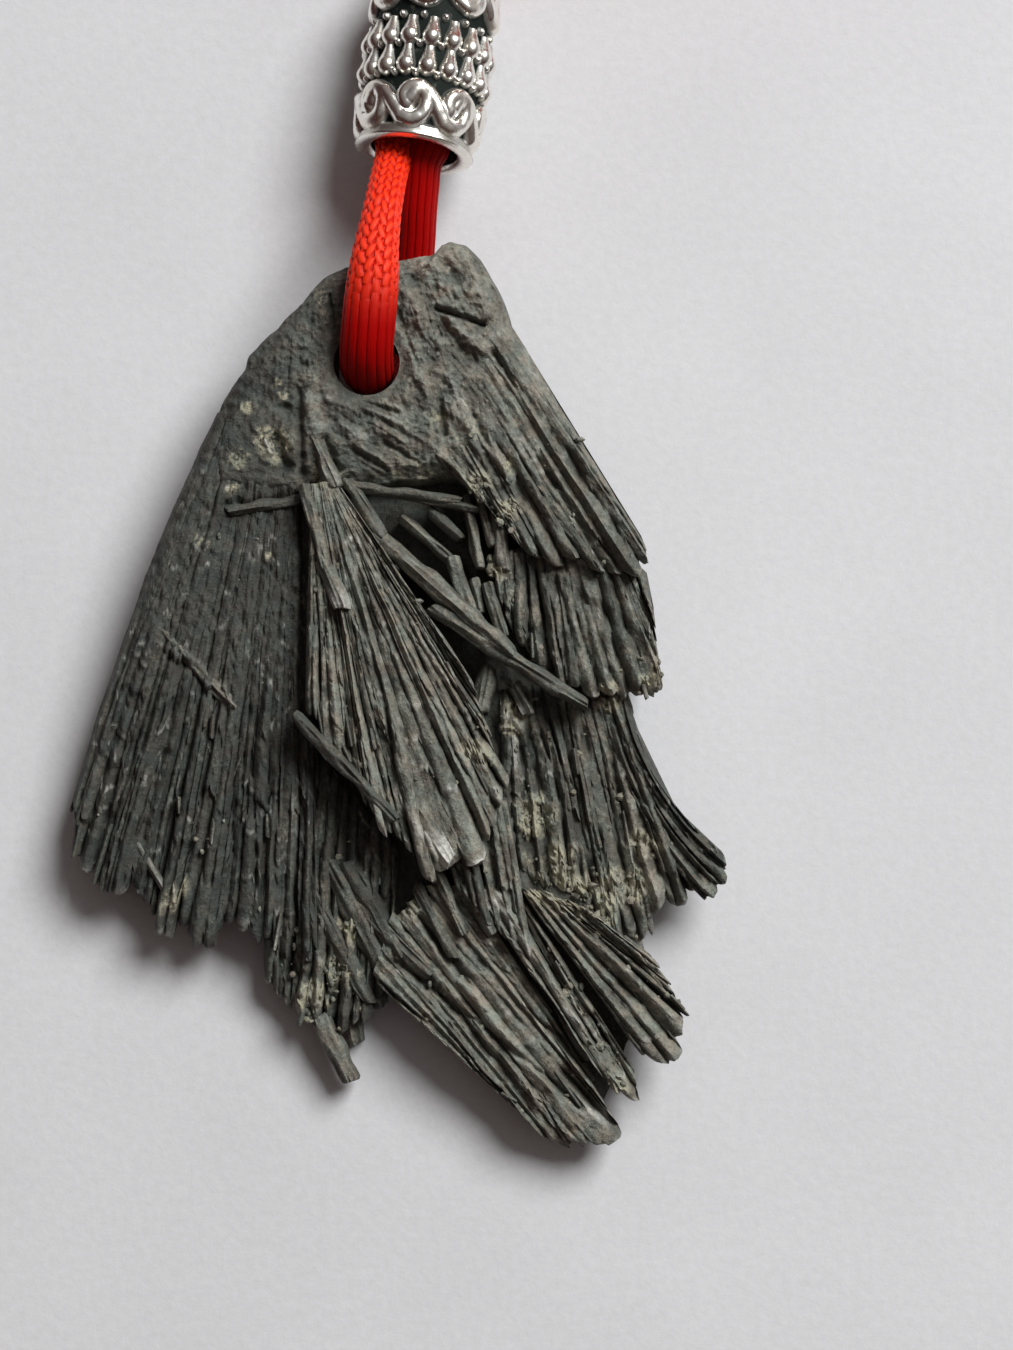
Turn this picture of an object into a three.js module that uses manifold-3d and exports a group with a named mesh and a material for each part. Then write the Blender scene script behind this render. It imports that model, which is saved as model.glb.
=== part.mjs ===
// A black kyanite fan, drilled at its stem and hung on a doubled red cord that runs through a silver barrel
// bead. The fan is one mineral piece: sprays of flat-sided blades that grew out of a compact stem, some
// over others. It lies on its back. Two of its blade tips and the bead's far end touch the surface, and one
// strand of the cord passes under the stem. The spare cord beyond the bead is wound into a coil, held by a
// tie, with its two ends knotted on top.
// Units are millimetres, +Z is up and +Y runs from the blade tips to the bead.
import * as THREE from "three";
import { mergeVertices } from "three/addons/utils/BufferGeometryUtils.js";
import Module from "manifold-3d";

const wasm = await Module();
wasm.setup();

// -------------------------------------------------------------------------------------- driving dimensions
const MESH_GAP = 0.3; // kept between touching pieces
const HOLE = { x: -1.7, y: 20.3, radius: 2, sides: 20 };

// The fan is modelled lying flat with its back at z = 0, and is then tipped about the line through the two
// blade tips that it rests on, which lifts the stem clear of the strand below it.
const REST_TIP_LEFT = new THREE.Vector3(-20, -11, 0);
const REST_TIP_BOTTOM = new THREE.Vector3(12, -28, 0);
const STEM_LIFT = THREE.MathUtils.degToRad(3.2);
const REST_WEAR = 0.25; // how much of each tip is worn flat

// A blade in a spray: how far its ridge rises or falls from its neighbours', how far its two flanks drop,
// how thick its broken end is, and the share of its width left between it and the next.
const BLADE = { lift: 0.35, shallow: 0.15, steep: 0.9, thick: 1.5, seam: 0.06 };

// The cord is 2.7 mm thick where it is free, and thinner where it is squeezed.
const CORD = { radius: 1.15, sides: 8, spread: 1.2, endGap: 0.15, loopSteps: 34, strandSteps: 14 };

// x, y and z are the middle of the bead's mouth, which the taut cord holds up a little. Its axis turns away
// from +Y by turn and dips by dip, and its belly rests on the surface.
const BEAD = {
  x: 0.85, y: 33.4, z: 5.1, turn: THREE.MathUtils.degToRad(8), dip: THREE.MathUtils.degToRad(5), length: 12,
  sides: 24, endRadius: 3.75, midRadius: 4.25, bore: 2.65, band: 3.9, groove: 0.35, rim: 0.35, chamfer: 0.3,
  round: 0.45, slope: 0.5,
};
const COIL = { x: 14, y: 72, inner: 12.8, outer: 18.2, low: 0.7, high: 8.8, soft: 1.1, sides: 24 };
const KNOT = { x: -0.5, y: 66.5, size: [8.4, 7, 5.4], turn: THREE.MathUtils.degToRad(70) };
const TIE = { angle: THREE.MathUtils.degToRad(20), width: 2.2, thick: 0.4 };

// The middle of the fan, the bead and the looped cord together. The part's origin is below it.
const MIDDLE = { x: 0, y: 9.26 };

// ----------------------------------------------------------------------------------------- small functions
// A repeatable number from 0 to 1, different for each seed and index.
function chance(seed, index) {
  const s = Math.sin(seed * 12.9898 + index * 78.233) * 43758.5453;
  return s - Math.floor(s);
}

const mix = (a, b, t) => a + (b - a) * t;

// The point at share t of a line's length.
function along(line, t) {
  const steps = line.slice(1).map((p, i) => Math.hypot(p[0] - line[i][0], p[1] - line[i][1]));
  let left = t * steps.reduce((sum, step) => sum + step);
  let i = 0;
  while (i < steps.length - 1 && left > steps[i]) left -= steps[i++];
  return line[i].map((v, k) => mix(v, line[i + 1][k], left / steps[i]));
}

// A solid from a geometry, or from rings of points and the triangles between them.
function solid(geometry) {
  const bare = geometry.clone();
  bare.deleteAttribute("normal");
  bare.deleteAttribute("uv");
  const merged = mergeVertices(bare, 1e-4);
  return new wasm.Manifold(
    new wasm.Mesh({
      numProp: 3,
      vertProperties: new Float32Array(merged.attributes.position.array),
      triVerts: new Uint32Array(merged.index.array),
    }),
  );
}

// A closed geometry through rings of the same number of points. Each end is closed by a fan about its middle.
function loft(rings) {
  const points = rings.flat();
  const n = rings[0].length;
  const faces = [];
  for (let r = 0; r + 1 < rings.length; r++) {
    for (let i = 0; i < n; i++) {
      const a = r * n + i;
      const b = r * n + ((i + 1) % n);
      faces.push(a, b, b + n, a, b + n, a + n);
    }
  }
  for (const [r, turn] of [[0, true], [rings.length - 1, false]]) {
    const middle = points.length;
    points.push([0, 1, 2].map((k) => rings[r].reduce((sum, p) => sum + p[k], 0) / n));
    for (let i = 0; i < n; i++) {
      const a = r * n + i;
      const b = r * n + ((i + 1) % n);
      faces.push(...(turn ? [middle, b, a] : [middle, a, b]));
    }
  }
  const g = new THREE.BufferGeometry();
  g.setAttribute("position", new THREE.BufferAttribute(new Float32Array(points.flat()), 3));
  g.setIndex(faces);
  return g;
}

// The geometry of a solid's outer skin, which leaves out any sliver of space sealed inside it.
function geometryOf(made) {
  const { vertProperties, triVerts } = made.getMesh();
  const linked = Array.from({ length: vertProperties.length / 3 }, (_, i) => i);
  const rootOf = (i) => {
    while (linked[i] !== i) i = linked[i];
    return i;
  };
  for (let t = 0; t < triVerts.length; t += 3) {
    const root = rootOf(triVerts[t]);
    linked[rootOf(triVerts[t + 1])] = root;
    linked[rootOf(triVerts[t + 2])] = root;
  }
  const skins = Map.groupBy(triVerts, rootOf);
  const outer = [...skins.values()].reduce((a, b) => (b.length > a.length ? b : a));
  const g = new THREE.BufferGeometry();
  g.setAttribute("position", new THREE.BufferAttribute(vertProperties, 3));
  g.setIndex(outer);
  g.computeVertexNormals();
  return g;
}

// ---------------------------------------------------------------------------------------------- the blades
// One blade: a five-sided bar with a ridge along its outer face. from and to are [x, y, z] of the ridge,
// widths are at its two ends, deep is its depth, and side 1 faces up and -1 faces down. Its two shoulders
// and its broken end differ from blade to blade by seed.
function blade({ from, to, widths, deep, side = 1, seed = 1 }) {
  const run = new THREE.Vector3(to[0] - from[0], to[1] - from[1], 0).normalize();
  const across = new THREE.Vector3(run.y, -run.x, 0);
  const peak = mix(-0.45, 0.45, chance(seed, 1));
  const shoulders = [mix(0.15, 0.75, chance(seed, 2)), mix(0.15, 0.75, chance(seed, 3))];
  const cut = mix(-0.5, 0.5, chance(seed, 4));
  const section = [[-1, deep], [1, deep], [1, null], [peak, 0], [-1, null]];
  const rings = [from, to].map((end, e) => {
    const half = widths[e] / 2;
    const ring = section.map(([s, down], i) => {
      const drop = down ?? shoulders[i === 2 ? 1 : 0] * half * 1.3;
      const shift = e === 1 ? s * half * cut : 0;
      return [
        end[0] + across.x * s * half + run.x * shift,
        end[1] + across.y * s * half + run.y * shift,
        end[2] - side * drop,
      ];
    });
    return side > 0 ? ring.reverse() : ring;
  });
  return solid(loft(rings));
}

// A spray: blades side by side, fused below, that start on one line and break off on another. tops are the
// ridge heights at the two lines, rough is the unevenness of the broken ends along the blades, and slab is
// the level that the fused mass reaches. The ends overhang that mass by inset. side 1 has its blades on top
// and -1 has them below.
function spray({ start, end, count, tops, slab, rough = 0.6, inset = 1.4, side = 1, seed }) {
  const rings = [];
  for (let i = 0; i < count; i++) {
    const key = seed * 100 + i;
    const peak = mix(0.25, 0.75, chance(key, 1));
    const reach = mix(-rough, rough * 0.4, chance(key, 2));
    const slant = mix(-0.5, 0.5, chance(key, 3));
    const rise = mix(-BLADE.lift, BLADE.lift, chance(key, 4));
    const falls = [5, 6].map((index) => mix(BLADE.shallow, BLADE.steep, chance(key, index)));
    for (const [across, fall] of [[BLADE.seam, falls[0]], [peak, 0], [1 - BLADE.seam, falls[1]]]) {
      const t = (i + across) / count;
      const from = along(start, t);
      const to = along(end, t);
      const long = Math.hypot(to[0] - from[0], to[1] - from[1]);
      const tip = 1 + (reach + slant * (across - 0.5)) / long;
      const back = tip - inset / long;
      const at = (share, z) => [mix(from[0], to[0], share), mix(from[1], to[1], share), z];
      const ring = [
        at(0, tops[0] + side * (rise - fall) * 0.5),
        at(tip, tops[1] + side * (rise - fall)),
        at(tip, tops[1] - side * BLADE.thick),
        at(back, slab),
        at(0, slab),
      ];
      rings.push(side > 0 ? ring : ring.reverse());
    }
  }
  return solid(loft(rings));
}

// The sprays. Each line runs round the fan the same way, from the left edge by the tips to the right edge.
const SPRAYS = [
  {
    name: "left fan", seed: 1, count: 15, tops: [5.9, 4.5], slab: 0.9, rough: 0.8,
    start: [[-10.9, 17.5], [-9, 16.3], [-7, 15.4], [-5.2, 14.6]],
    end: [[-20, -7.9], [-19.6, -10.2], [-18.4, -11.2], [-16.2, -11.4], [-14.9, -13.4], [-13.3, -14.5],
      [-11.4, -14.8], [-9.7, -14.4], [-8, -14.9], [-6.3, -15.3], [-4.7, -16]],
  },
  {
    name: "lower left spray", seed: 2, count: 8, tops: [3.9, 3.4], slab: 0.9,
    start: [[-7.8, -1.2], [-5.8, -1.8], [-3.5, -4.6], [0.2, -9]],
    end: [[-8.1, -16.9], [-6.8, -18.3], [-5.6, -19.7], [-4.2, -21], [-3.2, -20.3], [-1.8, -19.2],
      [-0.5, -18.6]],
  },
  {
    name: "raised centre spray", seed: 3, count: 12, tops: [7, 7.5], slab: 3.6, rough: 1.1, inset: 2.2,
    start: [[-5, 12.8], [-4, 12.9], [-3.1, 12.5]],
    end: [[-5.3, -0.7], [-3.7, -3.4], [-1.9, -5.5], [-0.7, -8.4], [1, -10.1], [2.5, -11.1], [4.2, -10.2],
      [5.8, -8.8], [6.8, -4.7], [5.1, 0], [4, 2.1]],
  },
  {
    name: "right upper spray", seed: 4, count: 11, tops: [5.6, 6.6], slab: 0.9,
    start: [[1.5, 15.4], [3, 18.6], [4.4, 22.2], [5.5, 25.3]],
    end: [[5.6, 11.6], [6.8, 9.8], [8, 8.5], [9.7, 8], [11.4, 7.9], [13.1, 7.4], [14.8, 7], [15.4, 7.9],
      [14.8, 9.8]],
  },
  {
    name: "right middle spray", seed: 5, count: 10, tops: [5, 5.3], slab: 0.9,
    start: [[5.5, 8.6], [8.7, 9.5], [12.4, 9.2], [15.2, 7.7]],
    end: [[6.3, 5.4], [7.5, 3.1], [9, 2], [10.3, 0.4], [11.8, -0.1], [13.7, -0.4], [15.5, 0], [16.2, 0.4],
      [16.1, 1.7], [15.8, 3.7], [15.7, 5]],
  },
  {
    name: "right lower spray", seed: 6, count: 9, tops: [3.7, 3.5], slab: 0.9,
    start: [[6.2, 0.6], [9.9, 1.2], [13.4, 0.4]],
    end: [[6.6, -10], [8.4, -11], [10.3, -12.2], [12.1, -13.4], [13.5, -14.7], [14.8, -15.1], [15.5, -13.7],
      [16.5, -12.8], [18.3, -11.6]],
  },
  {
    name: "right tip", seed: 7, count: 4, tops: [3.8, 4.3], slab: 1.4, rough: 0.3,
    start: [[12.4, 0.4], [14.1, -0.1]],
    end: [[18.6, -12.2], [19.3, -12.2], [20, -10.8], [20.1, -9.4]],
  },
  {
    name: "bottom spray", seed: 8, count: 10, tops: [4.5, 3.9], slab: 0.9,
    start: [[-1.1, -17.3], [-0.5, -14.8], [0.5, -13], [2.4, -11.8], [4.5, -11.5]],
    end: [[6.6, -24.1], [9, -26.5], [11.8, -27.3], [13.7, -26.1], [12.6, -24.4], [11.9, -22.9]],
  },
  {
    name: "bottom strand", seed: 14, count: 3, tops: [5.2, 4.6], slab: 1.6, rough: 0.4,
    start: [[4.5, -11.2], [7.7, -12]],
    end: [[12.1, -22.3], [13.4, -23.9], [14.6, -24.1], [14.5, -22.4]],
  },
  {
    name: "bottom upper spray", seed: 9, count: 6, tops: [5.6, 5], slab: 2,
    start: [[7.5, -11.5], [9.9, -12.2], [12, -13]],
    end: [[14.8, -21.5], [16.5, -21.9], [17.7, -20.6], [17.7, -19.1], [15.7, -15.8]],
  },
  {
    name: "middle spray", seed: 10, count: 5, tops: [5.8, 5.5], slab: 2,
    start: [[2.4, -6.8], [4.5, -6.2], [6.8, -6.2]],
    end: [[4, -12.4], [6.3, -14], [8.4, -16]],
  },
  {
    name: "back left spray", seed: 11, count: 6, side: -1, tops: [0.5, 0], slab: 2, rough: 0.9,
    start: [[-10, 14], [-5, 12]],
    end: [[-19, -7.9], [-17, -10.6], [-13.6, -13.3], [-9.5, -13.8], [-5.6, -15.4]],
  },
  {
    name: "back middle spray", seed: 12, count: 6, side: -1, tops: [0.5, 0.1], slab: 2, rough: 0.9,
    start: [[-5, 12], [3, 12]],
    end: [[-5.6, -16.4], [-1.5, -17], [4.5, -21.6], [10.5, -26], [12.2, -24]],
  },
  {
    name: "back right spray", seed: 13, count: 6, side: -1, tops: [0.5, 0.3], slab: 2, rough: 0.9,
    start: [[3, 12], [8, 17]],
    end: [[13.4, -21], [14.4, -15.5], [17.2, -11], [14, -2], [14.8, 4.5], [14.4, 8.6]],
  },
];

// Blades that lie on their own across the sprays: [from, to, width, depth], each end x, y and ridge height.
const LOOSE_BLADES = [
  [[-4.9, 12.9, 7.3], [-3, 5.4, 8.3], 1.2, 2.6], // stout one at the left of the raised centre
  [[-5.9, -1.1, 7.8], [0.2, -7.4, 8], 0.8, 1.8], // crosses the ends of the raised centre
  [[-0.9, 9, 7.2], [7.4, 2.4, 6.9], 1.4, 2.4], // two that branch off its right side
  [[2.2, 5.2, 6.7], [11.9, -0.5, 6.4], 1, 2],
  [[-3.6, 12.9, 6.3], [4, 11.9, 5.9], 0.55, 1.4], // along the top of the hollow
  [[0.2, 12.3, 5.7], [5.1, 11.4, 5.7], 0.5, 1.2],
  [[0.3, 11.1, 4.6], [3.7, 8.1, 4.8], 0.85, 2.6],
  [[3.4, 8.6, 5.2], [4.7, 4.8, 4.7], 0.85, 3],
  [[2, 11.5, 5], [4, 9.7, 5], 0.7, 2.8],
  [[4.2, 12.3, 5.3], [5.1, 7.9, 5.4], 0.8, 3],
  [[5.4, 12.1, 5.6], [6.3, 7.5, 5.6], 0.8, 3],
  [[-10.2, 11.9, 5.7], [-5.6, 12.5, 5.9], 0.6, 1.4],
  [[-13.3, 3, 5.3], [-9.8, -0.4, 5.2], 0.5, 0.9],
  [[-15.6, -8.7, 4.9], [-13.8, -11.7, 4.7], 0.5, 0.9],
  [[-5.3, 16.6, 6.3], [-3.5, 12.8, 7.2], 1.2, 1.8],
  [[5.7, 2, 5], [5.1, -0.8, 4.8], 1.3, 2.8],
  [[7.2, 0.9, 4.8], [8.1, -0.9, 4.7], 0.8, 2],
  [[-4.7, -19.1, 3.3], [-2.8, -23.1, 3], 1.5, 1.6], // stout tip below the lower left spray
  [[-3, -18.5, 1.9], [-2.4, -20.8, 1.8], 1.2, 1.4],
];

// ----------------------------------------------------------------------------------------- stem and hollow
// The stem: a thick plate about a middle point. rings are [share of the outline, height], from its back to
// its face.
const STEM = {
  middle: [-1, 19],
  outline: [
    [-3.1, 26.5], [-4.5, 25.8], [-5.8, 24.2], [-7.3, 22.7], [-8.5, 21.6], [-9.1, 21], [-9.3, 20.1],
    [-11.2, 16.7], [-12, 14.6], [-11.6, 12.4], [-9.4, 11.9], [-5.8, 12.3], [-3.1, 12.8], [0.2, 13.2],
    [2.7, 13.4], [5.2, 13.2], [7.4, 13.6], [8.6, 16.4], [8.2, 19.4], [7, 22.5], [5.7, 25.8], [5, 27],
    [4.2, 27.8], [3.4, 28.1], [2.7, 27.7], [2.4, 27.2], [0.6, 26.9], [-0.9, 26.7],
  ],
  rings: [[0.55, 0.6], [0.9, 0.8], [1, 2], [0.98, 4.4], [0.85, 5.5], [0.5, 5.9]],
  lumps: 0.22,
};

function stemSolid() {
  const [mx, my] = STEM.middle;
  const rings = STEM.rings.map(([share, z], r) =>
    STEM.outline.map(([x, y], i) => {
      const lump = mix(-STEM.lumps, STEM.lumps, chance(40 + r, i));
      return [mix(mx, x, share), mix(my, y, share), z + lump];
    }),
  );
  return solid(loft(rings));
}

// The mass that joins all the sprays, inside their outline.
const CORE = {
  low: 0.9,
  high: 2.9,
  outline: [
    [-3, 24], [-8, 20], [-11, 14], [-14, 5], [-17, -5], [-17.4, -8.6], [-13, -11.8], [-8, -13.4], [-4, -16.4],
    [0.6, -16.6], [8, -23.2], [11.3, -25.6], [12.4, -24.4], [14, -20.4], [15.6, -19.4], [13.8, -14.2],
    [16.4, -11], [14.6, -6], [12.8, -1], [14.4, 1], [14.4, 6], [13.8, 9], [10.4, 14.6], [6, 22], [2, 25],
  ],
};

function coreSolid() {
  return solid(loft([CORE.low, CORE.high].map((z) => CORE.outline.map(([x, y]) => [x, y, z]))));
}

// Tips the flat fan about the line through its two rest tips, and then sets it down.
const restLine = REST_TIP_BOTTOM.clone().sub(REST_TIP_LEFT).normalize();
const tip = new THREE.Matrix4()
  .makeTranslation(REST_TIP_LEFT.x, REST_TIP_LEFT.y, -REST_WEAR)
  .multiply(new THREE.Matrix4().makeRotationAxis(restLine, STEM_LIFT))
  .multiply(new THREE.Matrix4().makeTranslation(REST_TIP_LEFT.clone().negate()));

function wornFan() {
  const loose = LOOSE_BLADES.map(([from, to, width, deep], i) =>
    blade({ from, to, widths: [width * 0.8, width], deep, seed: 900 + i }),
  );
  const drill = new THREE.CylinderGeometry(HOLE.radius, HOLE.radius, 30, HOLE.sides)
    .rotateX(Math.PI / 2)
    .translate(HOLE.x, HOLE.y, 0);
  const pieces = [coreSolid(), stemSolid(), ...SPRAYS.map(spray), ...loose];
  const whole = pieces.reduce((all, piece) => all.add(piece));
  const tipped = solid(geometryOf(whole.subtract(solid(drill))).applyMatrix4(tip));
  const floor = new THREE.BoxGeometry(200, 200, 20).translate(0, 0, -10);
  return tipped.subtract(solid(floor));
}

// ------------------------------------------------------------------------------------------ bead and cords
const beadUp = new THREE.Vector3(0, 1, 0)
  .applyAxisAngle(new THREE.Vector3(1, 0, 0), -BEAD.dip)
  .applyAxisAngle(new THREE.Vector3(0, 0, 1), -BEAD.turn);
const beadAcross = new THREE.Vector3(Math.cos(BEAD.turn), -Math.sin(BEAD.turn), 0);

// A point given by its distance along the bead's axis from its mouth, and across it.
function inBead(up, across) {
  const mouth = new THREE.Vector3(BEAD.x, BEAD.y, BEAD.z);
  return mouth.addScaledVector(beadUp, up).addScaledVector(beadAcross, across);
}

// The bead is a barrel: two scroll bands with raised rims, and a dotted belly between two grooves.
function beadGeometry() {
  const { length, bore, endRadius, midRadius, band, groove, rim, chamfer, round, slope } = BEAD;
  const barrel = (h) => mix(endRadius, midRadius, 1 - ((2 * h) / length - 1) ** 2);
  const half = [
    [bore, chamfer],
    [bore + chamfer, 0],
    [endRadius - rim, 0],
    [barrel(round), round],
    [barrel(band / 2), band / 2],
    [barrel(band - slope), band - slope],
    [barrel(band) - groove, band],
    [barrel(band + slope), band + slope],
  ];
  const mirrored = half.map(([r, h]) => [r, length - h]).reverse();
  const outline = [...half, ...mirrored, half[0]].map(([r, h]) => new THREE.Vector2(r, h));
  return new THREE.LatheGeometry(outline, BEAD.sides);
}

// A cord of round section along a list of points.
function cordGeometry(points, steps) {
  const ring = new THREE.Shape().absarc(0, 0, CORD.radius, 0, 2 * Math.PI, false);
  const path = new THREE.CatmullRomCurve3(points.map((p) => (p.isVector3 ? p : new THREE.Vector3(...p))));
  return new THREE.ExtrudeGeometry(ring, { steps, extrudePath: path, curveSegments: CORD.sides / 2 });
}

// The doubled strand: down over the stem's face, through the hole and back up beneath the stem.
function loopPoints() {
  return [
    inBead(BEAD.length / 2 - CORD.endGap, -CORD.spread),
    inBead(0.6, -CORD.spread),
    [-0.4, 33, 5.7],
    [-0.65, 31.4, 6.9],
    [-0.85, 29.8, 8.1],
    [-1.05, 28.2, 8.9],
    [-1.3, 26.2, 9.4],
    [-1.5, 24, 9.5],
    [-1.7, 22, 9.3],
    [-1.85, 20.5, 8.4],
    [-1.85, 19.75, 6.8],
    [-1.8, 19.7, 5],
    [-1.75, 19.85, 3.3],
    [-1.5, 20.6, 1.9],
    [-1.1, 22, 1.3],
    [-0.2, 24.2, 1.2],
    [0.55, 26.2, 1.25],
    [0.95, 27.5, 1.75],
    [1.25, 28.9, 2.6],
    [1.55, 30.3, 3.5],
    [1.8, 31.7, 4.2],
    [2.05, 33.2, 4.7],
    inBead(2, CORD.spread),
    inBead(BEAD.length / 2 - CORD.endGap, CORD.spread),
  ];
}

// The two free strands, from inside the bead to the side of the coil.
const LEFT_STRAND = [[1.1, 49.5, 2.6], [0.1, 54, 1.6], [-1.2, 58, 1.4], [-2.2, 61.5, 1.6]];
const RIGHT_STRAND = [[3.6, 49.5, 2.6], [2.9, 53.5, 1.6], [2, 56.6, 1.4]];

function strandPoints(side, free) {
  return [
    inBead(BEAD.length / 2 + CORD.endGap, side * CORD.spread),
    inBead(BEAD.length - 0.6, side * CORD.spread),
    ...free,
  ];
}

// The coil's outer shape: a ring of both strands side by side, three turns high.
function coilGeometry() {
  const { inner, outer, low, high, soft, sides } = COIL;
  const outline = [
    [inner, low + soft],
    [inner + soft, low],
    [outer - soft, low],
    [outer, low + soft],
    [outer, high - soft],
    [outer - soft, high],
    [inner + soft, high],
    [inner, high - soft],
    [inner, low + soft],
  ].map(([r, z]) => new THREE.Vector2(r, z));
  return new THREE.LatheGeometry(outline, sides).rotateX(Math.PI / 2).translate(COIL.x, COIL.y, 0);
}

function knotGeometry() {
  return new THREE.SphereGeometry(1, 12, 8)
    .scale(KNOT.size[0] / 2, KNOT.size[1] / 2, KNOT.size[2] / 2)
    .rotateZ(KNOT.turn)
    .translate(KNOT.x, KNOT.y, COIL.high + MESH_GAP + KNOT.size[2] / 2);
}

// The tie is a flat band wound once round the coil's turns.
function tieGeometry() {
  const wide = COIL.outer - COIL.inner + 2 * (MESH_GAP + TIE.thick);
  const tall = COIL.high - COIL.low + 2 * (MESH_GAP + TIE.thick);
  const half = wide / 2;
  const loop = new THREE.Shape();
  loop.moveTo(-half, 0).lineTo(half, 0).lineTo(half, tall).lineTo(-half, tall).closePath();
  const inside = new THREE.Path();
  const t = TIE.thick;
  inside.moveTo(t - half, t).lineTo(t - half, tall - t).lineTo(half - t, tall - t).lineTo(half - t, t);
  loop.holes.push(inside.closePath());
  return new THREE.ExtrudeGeometry(loop, { depth: TIE.width, bevelEnabled: false })
    .translate(0, 0, -TIE.width / 2)
    .rotateX(Math.PI / 2)
    .translate((COIL.inner + COIL.outer) / 2, 0, 0)
    .rotateZ(TIE.angle)
    .translate(COIL.x, COIL.y, 0);
}

// ------------------------------------------------------------------------------------------------ the part
const finish = (name, color, roughness, metalness) =>
  new THREE.MeshStandardMaterial({ name, color, roughness, metalness });
const kyanite = finish("kyanite", 0x3c3d3b, 0.75, 0);
const silver = finish("silver", 0xb9b4ab, 0.35, 1);
const satin = finish("red satin cord", 0xc01a12, 0.55, 0);
const thread = finish("tie", 0x8e1410, 0.7, 0);

function named(name, geometry, material) {
  const mesh = new THREE.Mesh(geometry, material);
  mesh.name = name;
  return mesh;
}

const bead = named("bead", beadGeometry(), silver);
bead.position.set(BEAD.x, BEAD.y, BEAD.z);
bead.rotation.set(-BEAD.dip, 0, -BEAD.turn, "ZYX");

const part = new THREE.Group();
part.position.set(-MIDDLE.x, -MIDDLE.y, 0);
part.add(
  named("fan", geometryOf(wornFan()), kyanite),
  bead,
  named("cord_loop", cordGeometry(loopPoints(), CORD.loopSteps), satin),
  named("cord_left", cordGeometry(strandPoints(-1, LEFT_STRAND), CORD.strandSteps), satin),
  named("cord_right", cordGeometry(strandPoints(1, RIGHT_STRAND), CORD.strandSteps), satin),
  named("cord_coil", coilGeometry(), satin),
  named("cord_knot", knotGeometry(), satin),
  named("coil_tie", tieGeometry(), thread),
);
export default part;
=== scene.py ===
"""A black kyanite fan that lies on paper, hung on a red satin cord with a silver barrel bead.

Lengths in the functions are millimetres in the fan's own layout, where +Y runs from the blade tips to the
bead. to_frame() turns them into metres in the frame.
"""

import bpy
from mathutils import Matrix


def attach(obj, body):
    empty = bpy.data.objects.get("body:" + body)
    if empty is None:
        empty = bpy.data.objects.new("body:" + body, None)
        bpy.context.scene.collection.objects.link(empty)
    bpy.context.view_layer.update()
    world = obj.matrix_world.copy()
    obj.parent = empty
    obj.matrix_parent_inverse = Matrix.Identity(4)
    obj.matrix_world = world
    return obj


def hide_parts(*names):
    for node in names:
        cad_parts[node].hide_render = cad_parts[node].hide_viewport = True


bl_info = {
    "name": "Black kyanite fan",
    "version": (1, 0, 0),
    "blender": (4, 5, 0),
    "location": "View3D > Sidebar > Kyanite Fan",
    "description": "Builds a kyanite fan on a red satin cord with a silver barrel bead",
    "category": "Add Mesh",
}

from types import SimpleNamespace

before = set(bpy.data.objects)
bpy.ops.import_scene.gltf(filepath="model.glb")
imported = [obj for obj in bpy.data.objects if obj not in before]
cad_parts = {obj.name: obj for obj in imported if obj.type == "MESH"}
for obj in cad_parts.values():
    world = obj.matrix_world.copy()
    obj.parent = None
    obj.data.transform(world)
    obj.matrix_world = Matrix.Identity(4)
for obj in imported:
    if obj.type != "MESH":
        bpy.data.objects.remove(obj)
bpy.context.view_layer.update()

import bpy
import numpy as np
from bpy.props import FloatProperty, FloatVectorProperty, IntProperty, PointerProperty
from mathutils import Matrix, Vector

MM = 0.001
MIDDLE = (0.0, 9.26, 0.0)
BODY = "root"

# The fan rests on two blade tips, which are worn flat. It is laid out flat and then tipped about the line
# from one to the other, which lifts the stem over the strand below it.
REST_TIP_LEFT = Vector((-20, -11, 0))
REST_TIP_BOTTOM = Vector((12, -28, 0))
STEM_LIFT = np.radians(3.2)
REST_WEAR = 0.25

BLADE = {"lift": 0.35, "shallow": 0.15, "steep": 0.9, "thick": 1.5, "seam": 0.06}
HOLE = {"x": -1.7, "y": 20.3, "radius": 2.0}

# x, y and z are the middle of the bead's mouth. Its axis turns away from +Y by turn and dips by dip.
BEAD = {
    "x": 0.85, "y": 33.4, "z": 5.1, "turn": np.radians(8), "dip": np.radians(5), "length": 12.0, "bore": 2.65,
}
BEAD_END_RADIUS = 3.75
BEAD_MID_RADIUS = 4.25
CORD_SPREAD = 1.2
CORD_DIAMETER = 2.7
COIL = {"x": 14.0, "y": 72.0, "radius": 15.5, "low": 0.7, "high": 8.8}
KNOT = {"x": -0.5, "y": 66.5, "z": 11.8, "turn": np.radians(70)}

# What a spray may say besides its name, seed, count of blades, ridge heights where it starts and ends, and
# the lines that it starts and ends on, which run the same way round the fan. These are the usual values.
USUAL = {
    "side": 1,  # 1 on the face of the fan, -1 on its back
    "slab": 0.9,  # level of the fused mass below
    "tone": 0.5,  # from dark at 0 to light at 1
    "needle": 1.0,  # width of a needle
    "gaps": 0.4,  # share of the needles with a gap beside them
    "knobs": 0.24,  # how much a needle's height varies along it
    "depth": 0.8,  # how far blades and needles stand out
    "fused": -0.35,  # share of the length over which the blades are fused, below 0 for none
    "sunk": 0.35,  # how far the fused stretch lies lower
    "rough": 0.6,  # unevenness of the broken ends
    "ragged": 0.0,  # unevenness of the start line
    "inset": 1.4,  # how far the broken ends overhang
    "rounds": (0.3, 0.3),  # reach of the rounding at the first and last edge
    "bulges": (0.0, 0.0),  # how far the first and last edge bow out
    "bend": (0.0, 0.0),  # how far the middle is bent aside, in x and y
    "chips": 1.0,  # splinters, against the usual number
}
BACK = {"side": -1, "slab": 2, "rough": 0.9, "needle": 0.62, "fused": 0.12}
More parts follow.
